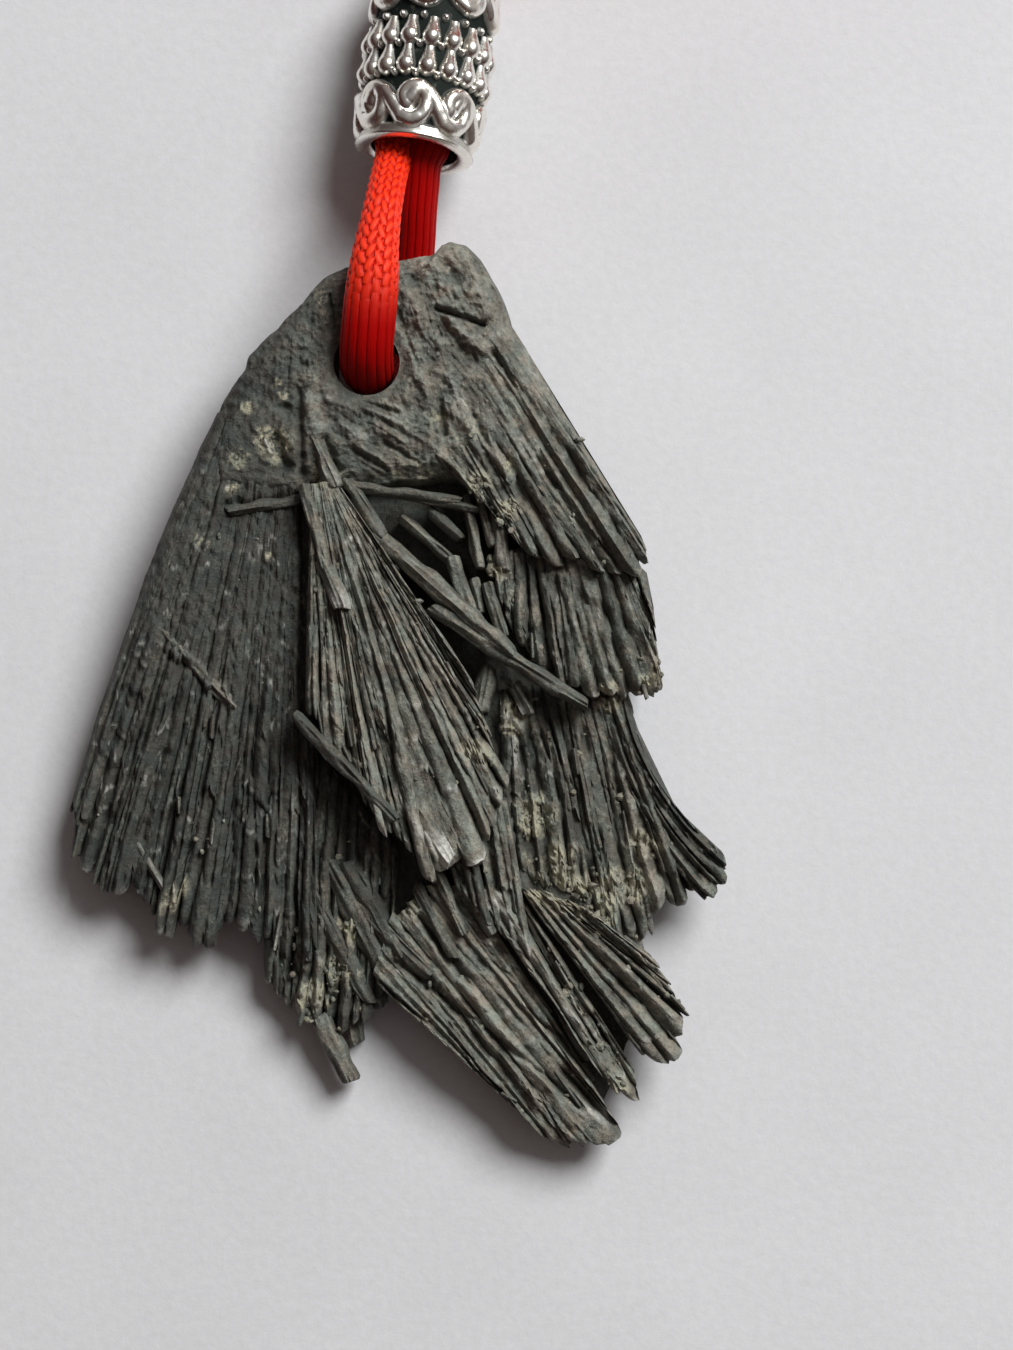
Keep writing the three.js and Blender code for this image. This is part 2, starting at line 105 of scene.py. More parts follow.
SPRAYS = [USUAL | own for own in (
    dict(
        name="left fan", seed=1, count=15, tops=(5.9, 4.5), rough=0.8, rounds=(2.4, 0.2), fused=0.34,
        tone=-0.13, needle=0.8, bulges=(0.7, 0),
        start=((-10.9, 17.5), (-9, 16.3), (-7, 15.4), (-5.2, 14.6)),
        end=((-20.1, -7.6), (-19.7, -9.8), (-18.3, -11.1), (-16.2, -11.4), (-14.9, -13.4), (-13.3, -14.5),
             (-11.4, -14.8), (-9.7, -14.4), (-8, -14.9), (-6.3, -15.3), (-4.7, -16)),
    ),
    dict(
        name="lower left spray", seed=2, count=8, tops=(3.9, 3.4), tone=0.12,
        start=((-7.8, -1.2), (-5.8, -1.8), (-3.5, -4.6), (0.2, -9)),
        end=((-8.1, -16.9), (-6.8, -18.3), (-5.6, -19.7), (-4.2, -21), (-3.2, -20.3), (-1.8, -19.2),
             (-0.5, -18.6)),
    ),
    dict(
        name="raised centre spray", seed=3, count=12, tops=(7, 7.5), slab=3.6, rough=1.1, inset=2.2,
        fused=0.05, tone=0.88, rounds=(0.5, 0.5), needle=1.35, gaps=0.3, depth=0.6,
        start=((-5, 12.8), (-4, 12.9), (-3.1, 12.5)),
        end=((-5.3, -0.7), (-3.7, -3.4), (-1.9, -5.5), (-0.7, -8.4), (1, -10.1), (2.5, -11.1), (4.2, -10.2),
             (5.8, -8.8), (6.8, -4.7), (5.1, 0), (4, 2.1)),
    ),
    dict(
        name="right upper spray", seed=4, count=11, tops=(5.6, 6.6), rounds=(0.3, 2.4), tone=0.8,
        needle=1.25, fused=0.25, gaps=0.45, rough=0.4, chips=0, depth=0.65, knobs=0.6,
        start=((1.5, 15.4), (3, 18.6), (4.4, 22.2), (5.5, 25.3)),
        end=((5.6, 11.6), (6.8, 9.8), (8, 8.5), (9.7, 8), (11.4, 7.9), (13.1, 7.4), (14.8, 7), (15.4, 7.9),
             (14.8, 9.8)),
    ),
    dict(
        name="right middle spray", seed=5, count=10, rounds=(0.3, 1.6), tops=(5, 5.3),
        needle=1.2, tone=0.58, gaps=0.45, chips=0.3, knobs=0.5,
        start=((5.5, 8.6), (8.7, 9.5), (12.4, 9.2), (15.2, 7.7)),
        end=((6.3, 5.4), (7.5, 3.1), (9, 2), (10.3, 0.4), (11.8, -0.1), (13.7, -0.4), (15.5, 0), (16.2, 0.4),
             (16.1, 1.7), (15.8, 3.7), (15.7, 5)),
    ),
    dict(
        name="right lower spray", seed=6, count=9, needle=1.1, tone=0.38, tops=(3.7, 3.5),
        gaps=0.5,
        start=((6.2, 0.6), (9.9, 1.2), (13.4, 0.4)),
        end=((6.6, -10), (8.4, -11), (10.3, -12.2), (12.1, -13.4), (13.5, -14.7), (14.8, -15.1),
             (15.5, -13.7), (16.5, -12.8), (18.3, -11.6)),
    ),
    dict(
        name="right tip", seed=7, count=4, tops=(3.8, 4.3), slab=1.4, rough=0.3, tone=0.35,
        bend=(-0.95, -0.6),
        start=((12.4, 0.4), (14.1, -0.1)),
        end=((18.6, -12.2), (19.3, -12.2), (20, -10.8), (20.1, -9.4)),
    ),
    dict(
        name="bottom spray", seed=8, count=10, needle=1.25, tone=1.05, tops=(4.5, 3.9),
        ragged=0.9, gaps=0.25, rough=0.7, depth=0.6,
        start=((-1.1, -17.3), (-0.5, -14.8), (0.5, -13), (2.4, -11.8), (4.5, -11.5)),
        end=((6.6, -24.1), (9, -26.5), (11.8, -27.3), (13.7, -26.1), (12.6, -24.4), (11.9, -22.9)),
    ),
    dict(
        name="bottom strand", seed=14, count=3, tops=(5.2, 4.6), slab=1.6, rough=0.4, tone=0.95, ragged=1,
        start=((4.5, -11.2), (7.7, -12)),
        end=((12.1, -22.3), (13.4, -23.9), (14.6, -24.1), (14.5, -22.4)),
    ),
    dict(
        name="bottom upper spray", seed=9, count=6, needle=1.1, tone=0.9, tops=(5.6, 5), slab=2,
        ragged=0.8,
        start=((7.5, -11.5), (9.9, -12.2), (12, -13)),
        end=((14.8, -21.5), (16.5, -21.9), (17.7, -20.6), (17.7, -19.1), (15.7, -15.8)),
    ),
    dict(
        name="middle spray", seed=10, count=5, tops=(5.8, 5.5), slab=2, tone=0.72, needle=0.95,
        start=((2.4, -6.8), (4.5, -6.2), (6.8, -6.2)),
        end=((4, -12.4), (6.3, -14), (8.4, -16)),
    ),
    dict(
        name="back left spray", seed=11, count=6, tops=(0.5, 0), **BACK,
        start=((-10, 14), (-5, 12)),
        end=((-19, -7.9), (-17, -10.6), (-13.6, -13.3), (-9.5, -13.8), (-5.6, -15.4)),
    ),
    dict(
        name="back middle spray", seed=12, count=6, tops=(0.5, 0.1), **BACK,
        start=((-5, 12), (3, 12)),
        end=((-5.6, -16.4), (-1.5, -17), (4.5, -21.6), (10.5, -26), (12.2, -24)),
    ),
    dict(
        name="back right spray", seed=13, count=6, tops=(0.5, 0.3), **BACK,
        start=((3, 12), (8, 17)),
        end=((13.4, -21), (14.4, -15.5), (17.2, -11), (14, -2), (14.8, 4.5), (14.4, 8.6)),
    ),
)]

# Blades on their own across the sprays: x, y and ridge height at both ends, width, depth and paleness,
# which is below 0 for a darker blade.
LOOSE_BLADES = (
    ((-5.4, 12.8, 7.2), (-4, 7.6, 7.9), 0.8, 2.6, 0.0),
    ((-4.3, 8.3, 7.8), (-3, 5.2, 8.3), 1.1, 2.4, 0.45),
    ((0.6, -5.4, 7.4), (3.45, -9.9, 7.6), 1.1, 2.2, 0.75),
    ((-5.9, -1.1, 7.8), (0.2, -7.4, 8), 0.8, 1.8, -0.5),
    ((-1.2, 9.9, 6.9), (7.2, 2.5, 6.9), 1.15, 2.4, 0.0),
    ((2.2, 5.4, 6.6), (11.6, -0.5, 6.4), 0.95, 2, 0.0),
    ((-3.6, 12.9, 6.3), (4, 11.9, 5.9), 0.6, 1.4, 0.0),
    ((0.2, 12.3, 5.7), (5.1, 11.4, 5.7), 0.5, 1.2, -0.2),
    ((0.3, 11.1, 4.6), (3.7, 8.1, 4.8), 0.75, 2.6, -0.1),
    ((3.4, 8.6, 5.2), (4.7, 4.8, 4.9), 0.85, 3, 0.1),
    ((2, 11.5, 5), (4, 9.7, 5), 0.7, 2.8, 0.0),
    ((0.6, 8.6, 4.2), (3.2, 6.5, 4.3), 0.75, 2.2, -0.4),
    ((4.2, 12.3, 5.3), (5.1, 7.9, 5.4), 0.7, 3, 0.1),
    ((5.1, 12.2, 5.5), (5.9, 9.2, 5.5), 0.6, 3, 0.05),
    ((6, 11.9, 5.6), (6.7, 7.7, 5.7), 0.8, 3, 0.1),
    ((5.5, 7, 5.2), (6.6, 3.7, 5.3), 0.9, 3, 0.05),
    ((4.7, 7.3, 4.7), (5.2, 5.2, 4.8), 0.7, 2.6, 0.0),
    ((-10.1, 11.3, 5.9), (-5.6, 12, 6), 0.75, 1.4, -0.4),
    ((-14.7, 4.8, 5.1), (-12.8, 2.8, 5.4), 0.4, 0.9, 0.0),
    ((-12.9, 2.9, 5.4), (-9.6, -0.6, 5.4), 0.8, 0.9, 0.12),
    ((-15.6, -8.7, 4.7), (-13.8, -11.7, 4.5), 0.5, 0.9, 0.2),
    ((-5.3, 16.6, 6), (-3.5, 12.6, 7.1), 1, 1.8, 0.1),
    ((-2.9, 13.2, 6.4), (-0.6, 9.6, 7.1), 0.8, 1.8, 0.05),
    ((5.7, 2, 5), (5.1, -0.8, 4.8), 1.1, 2.8, 0.15),
    ((7.2, 0.9, 4.8), (8.1, -0.9, 4.7), 0.8, 2, 0.3),
    ((2.1, -9.7, 5.2), (4.2, -14.2, 5.1), 0.75, 2, 0.0),
    ((3.6, -9.4, 5.4), (5.9, -14.2, 5.3), 0.85, 2, 0.1),
    ((1.2, -11.2, 4.8), (3.6, -15.6, 4.9), 0.8, 2, 0.0),
    ((8.3, -15.4, 4.3), (11.9, -21.6, 4.1), 1.1, 2, 0.1),
    ((-2.6, -12, 3.9), (2.2, -16.6, 4.7), 1.2, 1.8, -0.1),
    ((-4.2, -9.6, 4.1), (-0.4, -16.9, 4.2), 1.3, 1.8, -0.25),
    ((-3, -9.8, 4.2), (0.4, -15.6, 4.5), 1.3, 1.8, -0.25),
    ((-5.1, -11.5, 3.8), (-1.6, -18.3, 3.7), 1.1, 1.6, -0.25),
    ((-4.7, -19.1, 3.3), (-2.8, -23.1, 3), 1.3, 1.6, 0.0),
    ((-3, -18.5, 1.9), (-2.4, -20.8, 1.8), 1, 1.4, 0.0),
)

LEFT_SPRAYS = ("left fan", "lower left spray", "raised centre spray")
SHARP = np.radians(66)  # an edge sharper than this isn't smoothed over
BACK_COARSER = 2.2  # spacing on the back, against the face's
ROWS = (12, 130)  # fewest and most points along a spray
TONES = (-0.3, 1.2)
LOWEST_FACE = 0.03

STEM_MIDDLE = (-1, 19)
STEM_COLUMNS, STEM_ROWS, STEM_BACK_ROWS = 480, 120, 24
STEM_OUTLINE = (
    (-3.1, 26.5), (-4.5, 25.8), (-5.8, 24.2), (-7.3, 22.7), (-8.5, 21.6), (-9.1, 21), (-9.3, 20.1),
    (-11.2, 16.7), (-12.3, 14.4), (-11.8, 12.4), (-9.4, 11.9), (-5.8, 12.3), (-3.1, 12.8), (0.2, 13.2),
    (2.7, 13.4), (5.2, 13.2), (7.4, 13.6), (8.6, 16.4), (8.2, 19.4), (7, 22.5), (5.7, 25.8), (5, 27),
    (4.2, 27.8), (3.4, 28.1), (2.7, 27.7), (2.4, 27.2), (0.6, 26.9), (-0.9, 26.7),
)
# The stem's height against the share of the way out to its outline, for its face and its back.
STEM_FACE = ((0, 6.0), (0.5, 5.9), (0.85, 5.5), (0.98, 4.4), (1, 3.4))
STEM_BACK = ((0, 0.6), (0.55, 0.6), (0.9, 0.8), (1, 2))
EDGE_BULGE = 1.012

CORE_OUTLINE = (
    (-11, 13), (-14, 5), (-17, -5), (-17.4, -8.6), (-13, -11.8), (-8, -13.4), (-4, -16.4), (0.6, -16.6),
    (8, -23.2), (11.3, -25.6), (12.4, -24.4), (14, -20.4), (15.6, -19.4), (13.8, -14.2), (16.4, -11),
    (14.6, -6), (12.8, -1), (14.4, 1), (14.4, 6), (13.8, 9), (10.4, 13),
)
CORE_MIDDLE = (-1, -2)
CORE_COLUMNS, CORE_ROWS = 300, 70
CORE_LEVELS = (0.9, 2.7)


# ------------------------------------------------------------------------------------------ small functions
def chance(seed, index):
    """A repeatable number from 0 to 1 for each seed and index: the fraction left of a large sine."""
    s = np.sin(np.asarray(seed, float) * 12.9898 + np.asarray(index, float) * 78.233) * 43758.5453
    return s - np.floor(s)


def mix(a, b, t):
    return a + (b - a) * t


def smooth(low, high, x):
    """0 below low and 1 above high, with an even S between."""
    t = np.clip((x - low) / (high - low), 0, 1)
    return t * t * (3 - 2 * t)


def grain(u, v, seed):
    """Smooth noise from -1 to 1: random values on a unit lattice, blended between its corners by S curves."""
    iu, iv = np.floor(u), np.floor(v)
    fu, fv = smooth(0, 1, u - iu), smooth(0, 1, v - iv)
    corner = [chance(seed + (iu + a) * 3.71, (iv + b) * 1.93) for a in (0, 1) for b in (0, 1)]
    return 2 * mix(mix(corner[0], corner[1], fv), mix(corner[2], corner[3], fv), fu) - 1


def along(line, t):
    """The points at shares t of a line's length."""
    line = np.asarray(line, float)
    steps = np.linalg.norm(np.diff(line, axis=0), axis=1)
    reach = np.concatenate(([0], np.cumsum(steps)))
    return np.stack([np.interp(np.asarray(t) * reach[-1], reach, c) for c in line.T], axis=-1)


def spots(x, y, size, seed):
    """Smooth noise whose lattice is size wide both ways."""
    return grain(x / size, y / size, seed)


def strip_distance(x, y, line):
    """The distance from each point to the nearest piece of a line."""
    line = np.asarray(line, float)
    a, b = line[:-1], line[1:]
    run = b - a
    px, py = x[..., None] - a[:, 0], y[..., None] - a[:, 1]
    s = np.clip((px * run[:, 0] + py * run[:, 1]) / (run**2).sum(1), 0, 1)
    return np.hypot(px - s * run[:, 0], py - s * run[:, 1]).min(-1)


def to_frame(points):
    """Millimetres in the layout to metres in the frame."""
    return (np.asarray(points, float) - MIDDLE) * MM


# ---------------------------------------------------------------------------------------------- mesh shapes
class Shape:
    """Points in a grid of any number of axes, faces of four, end faces of many, and the values that each
    point carries, which are spread over the grid where they have fewer entries."""

    def __init__(self, points, quads, ends=(), **values):
        full = {"tone": 0.5, "groove": 1.0, "pale": 0.0, "matrix": 0.0, "u": 0.0, "v": 0.0} | values
        grid = np.shape(points)[:-1]
        self.points = np.asarray(points, float).reshape(-1, 3)
        self.quads = np.asarray(quads, int).reshape(-1, 4)
        self.ends = [np.asarray(e, int) for e in ends]
        self.values = {k: np.broadcast_to(np.asarray(v, float), grid).reshape(-1) for k, v in full.items()}


def join(shapes):
    """One shape of many: their points one after another, with each one's faces moved on by the points
    before it."""
    starts = np.cumsum([0] + [len(s.points) for s in shapes])
    joined = Shape(
        np.concatenate([s.points for s in shapes]),
        np.concatenate([s.quads + at for s, at in zip(shapes, starts)]),
        [e + at for s, at in zip(shapes, starts) for e in s.ends],
    )
    joined.values = {k: np.concatenate([s.values[k] for s in shapes]) for k in shapes[0].values}
    return joined


def ring_quads(count, ring):
    """The faces between count rings of ring points, each ring closed on itself."""
    i = np.arange(count - 1)[:, None] * ring
    j = np.arange(ring)[None, :]
    k = (j + 1) % ring
    return np.stack([i + j, i + k, i + ring + k, i + ring + j], -1).reshape(-1, 4)


def closed_quads(count, ring):
    """The faces between count rings of ring points, each closed on itself, and from the last ring on to the
    first."""
    i, j = np.arange(count)[:, None] * ring, np.arange(ring)[None, :]
    ahead, k = (i + ring) % (count * ring), (j + 1) % ring
    return np.stack([i + j, ahead + j, ahead + k, i + k], -1).reshape(-1, 4)


def loft(rings, **values):
    """A closed shape through rings, an array of ring by point by xyz, with a face across each end. An axis
    in front of these three holds one such shape for each of its entries."""
    *many, count, ring, _ = rings.shape
    starts = np.arange(int(np.prod(many))) * count * ring
    caps = (np.arange(ring)[::-1], np.arange(ring) + (count - 1) * ring)
    ends = [cap + at for cap in caps for at in starts]
    return Shape(rings, ring_quads(count, ring) + starts[:, None, None], ends, **values)


def put(name, data):
    """A new object of this data, in the scene."""
    obj = bpy.data.objects.new(name, data)
    bpy.context.scene.collection.objects.link(obj)
    return obj


def piece(name, shape, material, replaces):
    """A finished object of a shape: its values become point attributes, and u and v its UV map."""
    mesh = bpy.data.meshes.new(name)
    faces = shape.quads.tolist() + [e.tolist() for e in shape.ends]
    mesh.from_pydata(to_frame(shape.points).tolist(), [], faces)
    for key in ("tone", "groove", "pale", "matrix"):
        layer = mesh.attributes.new(key, "FLOAT", "POINT")
        layer.data.foreach_set("value", shape.values[key].astype(np.float32))
    corner = np.empty(len(mesh.loops), np.int32)
    mesh.loops.foreach_get("vertex_index", corner)
    uv = np.stack([shape.values["u"], shape.values["v"]], -1)[corner]
    mesh.uv_layers.new(name="UVMap").data.foreach_set("uv", uv.astype(np.float32).ravel())
    mesh.materials.append(material)
    mesh.validate()
    mesh.update()
    obj = put(name, mesh)
    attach(obj, BODY)
    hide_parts(*replaces)
    return obj


# -------------------------------------------------------------------------------------------------- the fan
def billow(u, v, seed):
    """Ridges with rounded tops and sharp grooves between: the distance of smooth noise from zero."""
    return np.abs(grain(u, v, seed)) ** 0.65


def flakes(u, v, seed):
    """Thin plates with steep edges, from -1 to 1: noise cut into terraces, in two sizes."""
    coarse = grain(u, v, seed) + 0.35 * grain(2.3 * u, 2.3 * v, seed + 1)
    fine = grain(2.9 * u, 2.9 * v, seed + 2)
    steps = smooth(-0.12, 0.02, coarse) + smooth(0.28, 0.42, coarse)
    return 0.6 * steps + 0.5 * smooth(-0.08, 0.08, fine) - 0.85


def fibre_relief(t, s, widths, long, seed, settings):
    """Ridges that run along the blades, as height and as how raised a point is from 0 to 1. Six layers of
    billow noise are spaced evenly across by t, each twice as fine as the one before. A layer is as high as
    its ridges are wide there, and is left out where they would be too narrow or too wide, so ridges fork as
    the spray widens."""
    height, most = 0, 0
    width_here = mix(widths[0], widths[1], s)
    for layer in range(6):
        ridges = 3 * 2.0**layer
        width = width_here / ridges
        seen = smooth(0.09, 0.2, width) * smooth(2.4, 1.2, width)
        warp = 0.5 * grain(t * ridges / 4, s * long / 6, seed + 11 * layer)
        run = s * long / np.clip(7 * np.sqrt(width / 0.5), 2, 10)
        share = settings.groove_depth * np.minimum(width, 0.7) * seen
        height = height + share * billow(t * ridges * 1.5 + warp, run + 0.3 * layer, seed + 17 * layer)
        most = most + share * 0.75
    return height - most, height / np.maximum(most, 0.02)


def spray_grid(spray, settings):
    """A spray's grid of lines by points. Across the spray by t and along it by s, a point is on the
    straight line between the start line and the end line at t, as far along as s of that line's own
    length."""
    sides = [along(spray[key], np.linspace(0, 1, 80)) for key in ("start", "end")]
    widths = [np.linalg.norm(np.diff(line, axis=0), axis=1).sum() for line in sides]
    coarser = BACK_COARSER if spray["side"] < 0 else 1
    columns = int(max(widths) / (settings.column_spacing * coarser))
    t = (np.arange(columns) + 0.5) / columns
    start, end = along(spray["start"], t), along(spray["end"], t)
    long = np.linalg.norm(end - start, axis=1)
    rows = int(np.clip(long.mean() / (settings.row_spacing * coarser), *ROWS))
    s = np.linspace(0, 1, rows)[None, :]
    x, y = (start[:, None, k] + (end - start)[:, None, k] * s for k in (0, 1))
    return SimpleNamespace(
        widths=widths, t=t, s=s, start=start, end=end, long=long, mean=long.mean(), x=x, y=y,
        v=s * long[:, None], far=t[:, None] * widths[1],
    )


def blade_pattern(spray, t):
    """Each line's blade: its own number, how far across it the line is, its rise over the spray's ridge
    height, and the even fall from its ridge to its seams."""
    blade = np.floor(t * spray["count"])
    own = spray["seed"] * 100 + blade
    across = np.clip(t * spray["count"] - blade, BLADE["seam"], 1 - BLADE["seam"])
    peak = mix(0.25, 0.75, chance(own, 1))
    falls = [mix(BLADE["shallow"], BLADE["steep"], chance(own, k)) for k in (5, 6)]
    before = (peak - across) / (peak - BLADE["seam"])
    after = (across - peak) / (1 - BLADE["seam"] - peak)
    fall = np.where(across < peak, falls[0] * before, falls[1] * after)
    rise = mix(-BLADE["lift"], BLADE["lift"], chance(own, 4))
    return SimpleNamespace(own=own, across=across, fall=fall, rise=rise)


def needle_pattern(spray, grid):
    """Each point's needle: its own number, how far the point is from its middle, its width there, the arch
    across it, the knuckles along it and the gap beside it. Each needle has parts along it, a little higher
    or lower, and slots, in some of which a thin layer, a sliver, is left or gone. Some needles are broken
    off near their tip."""
    seed, v = spray["seed"], grid.v
    needles = int(grid.widths[1] / spray["needle"])
    place = grid.t[:, None] * needles
    here = place + 0.75 * grain(place / 2.4, grid.s * grid.mean / 9, seed + 2)
    here = here + 0.05 * grain(place / 0.9, grid.s * grid.mean / 1.5, seed + 4)
    number = np.floor(here)
    own = seed * 1000 + number
    middle = here - number - 0.5
    wide = np.minimum(mix(grid.widths[0], grid.widths[1], grid.s) / needles, 1.1)
    edge_own = seed * 991 + np.floor(here + 0.5)
    gap = (chance(edge_own, 33) < spray["gaps"]) * mix(0.5, 1, chance(edge_own, 35))
    gap = gap * smooth(-0.05, 0.3, grain(edge_own * 2.1, v / 2, seed + 9)) * smooth(0.2, 0.45, wide)
    gap = gap * smooth(mix(0.12, 0.32, chance(edge_own, 36)), 0.04, (0.5 - np.abs(middle)) * wide)
    parts = v / mix(0.9, 2.8, chance(own, 50)) + 7 * chance(own, 51)
    parts = parts + 0.3 * grain(here * 2.5, v / 0.4, seed + 12)
    slots = v / 2.6 + 5 * chance(own, 12)
    slot = np.floor(slots)
    pick, edge = chance(own + 0.37 * slot, 13), mix(0.2, 0.7, chance(own + 0.37 * slot, 14))
    sliver = np.where(pick < 0.3, 0.2, 0) * (slots - slot < edge)
    sliver = sliver - np.where(pick > 0.75, 0.28, 0) * (slots - slot > edge)
    breaks = np.where(chance(own, 15) < 0.4, mix(0.55, 0.96, chance(own, 16)), 2)
    return SimpleNamespace(
        own=own, middle=middle, wide=wide, gap=gap, sliver=sliver, slot=slot,
        part=own + 0.53 * np.floor(parts), arch=1 - np.abs(2 * middle) ** 2.4,
        knuckle=grain(own * 1.37, v / mix(0.9, 2.4, chance(own, 34)), seed + 6),
        broken=mix(0.2, 0.6, chance(own, 17)) * (grid.s > breaks),
    )


def spray_ends(spray, grid, blade, needle):
    """The shares of each line's length where it begins and where it ends, and how far its tip is chipped:
    each blade and each needle on it has an end of its own, cut aslant."""
    first, last = needle.own[:, 0], needle.own[:, -1]
    reach = mix(-spray["rough"], spray["rough"] * 0.4, chance(blade.own, 2))
    slant = mix(-0.5, 0.5, chance(blade.own, 3))
    uneven = mix(-0.9, 0.5, chance(last, 11)) * min(1, spray["rough"])
    corner = -0.35 * np.abs(2 * needle.middle[:, -1]) ** 3
    tip = 1 + (0.7 * reach + 0.3 * slant * (blade.across - 0.5) + uneven + corner) / grid.long
    begin = -spray["ragged"] * (chance(first, 41) + 0.15 * np.abs(2 * needle.middle[:, 0]) ** 3) / grid.long
    chip = 0.1 * grain(grid.t * grid.widths[1] / 0.25, 0 * grid.t, spray["seed"] + 3) / grid.long
    return begin, tip, chip


def spray_face(spray, grid, blade, needle, settings):
    """The height of a spray's face, and its groove, pale and tone values. The height is the straight line
    between the two ridge heights, plus the blade's rise, less its fall. On that are the needles, each an
    arch as high as a share of its width, with finer fibres, slivers left or gone, flakes where the blades
    are fused, and grains. Where it is crumbly, lumps take the needles' place. The outer edges are
    rounded. The groove value is painted shade, low in the gaps, down the falls and off the needles' arches."""
    seed, depth, x, y = spray["seed"], spray["depth"], grid.x, grid.y
    own, wide, gap, sliver, broken = needle.own, needle.wide, needle.gap, needle.sliver, needle.broken
    edges = ((grid.far, spray["rounds"][0]), (grid.widths[1] - grid.far, spray["rounds"][1]))
    grow = smooth(spray["fused"], spray["fused"] + 0.35, grid.s)
    crumbs = crumbly(x, y)
    plain = 1 - 0.75 * crumbs
    for distance, reach in edges:
        plain = plain * mix(0.2, 1, smooth(0.3 * reach, reach, distance))
    gap = gap * plain
    fibres, raised = fibre_relief(grid.t[:, None], grid.s, grid.widths, grid.mean, seed, settings)
    plates = flakes(x / 1.1 + 0.3 * y, y / 1.6, seed + 8)
    grains = 0.1 * spots(x, y, 0.36, 21) + 0.07 * spots(x, y, 0.2, 22)
    grains = grains * mix(1.1, 0.8, grow) + 0.12 * plates * mix(1, 0.35, grow)
    grains = grains + 0.05 * spots(x, y, 0.8, 25) * grow
    lumps = billow(x / 0.6, y / 0.6, 23) + 0.8 * billow(x / 0.27, y / 0.27, 24) - 0.7
    grains = grains + crumbs * 0.7 * lumps
    stroke, light = strokes(x, y) if spray["side"] > 0 else (0 * x, 0 * x)

    worn = 0.4 * smooth(1 - 0.8 / grid.mean, 1, grid.s) ** 2
    sunk = spray["sunk"] * (1 - smooth(0, max(spray["fused"], 0.05), grid.s))
    knobs = 0.4 + spray["knobs"] * needle.knuckle
    lift = mix(-0.4, 0.34, chance(own, 32)) + (needle.arch - 0.7) * wide * knobs
    lift = depth * lift * plain - mix(0.2, 0.85, depth) * gap * wide
    relief = (blade.rise - blade.fall)[:, None] * depth * mix(0.35, 1, grow) * (0.5 + 0.5 * grid.s)
    relief = relief + lift * mix(0.2, 1, grow)
    relief = relief + fibres * mix(0.25, 0.14, grow) + plain * depth * (sliver - broken) * grow
    relief = relief + grains + stroke
    relief = relief - worn - sunk + 0.24 * (chance(needle.part, 52) - 0.6) * grow * plain
    for distance, reach in edges:
        relief = relief - 0.55 * reach * (1 - smooth(0, reach, distance) ** 0.5)
    top = np.maximum(mix(*spray["tops"], grid.s) + spray["side"] * relief, LOWEST_FACE)

    # Painted shade: the groove value falls in the gaps, down the blades' falls, on broken needles and off the
    # needles' arches, and stays middling over the fused stretch.
    groove = 0.3 + 0.55 * needle.arch * (0.85 + 0.3 * needle.knuckle) + 0.1 * raised - 1.2 * gap
    groove = groove + 0.5 * sliver - 0.4 * broken - 0.2 * blade.fall[:, None] + 0.7 * stroke
    groove = groove + 1.2 * grains + 0.2 * crumbs
    early = np.clip(0.6 + 0.25 * plates + 2.5 * grains + 0.7 * stroke, 0, 1)
    groove = mix(early, np.clip(groove, 0, 1), mix(0.25, 1, grow))
    steps = np.diff(sliver - broken, axis=1, append=0)
    bared = (steps < -0.1) & (chance(own + 0.71 * needle.slot, 18) < 0.5)
    fresh = 0.45 * bared + 0.4 * smooth(0.98, 1, grid.s)
    flecks = smooth(0.62, 0.9, grain(x / 0.2, y / 0.4, 27)) * smooth(0, 0.7, grain(x / 2.4, y / 3, 29))
    pale = np.clip(fresh * chance(own, 19) + light + 0.45 * flecks, 0, 1)
    hue = 0.4 * (chance(own, 20) - 0.5) + 0.25 * (chance(blade.own, 21)[:, None] - 0.5)
    tone = np.clip(spray["tone"] + hue, *TONES) + 0.9 * crumbs + 0.44 * (chance(needle.part, 53) - 0.5) * grow
    tone = tone + 0.14 * grain(x / 0.9, y / 1.8, 26) + 0.1 * grain(x / 0.3, y / 0.5, 28)
    end_tone = np.clip(spray["tone"] + hue[:, -1:], *TONES)
    return top, groove, pale, tone, end_tone


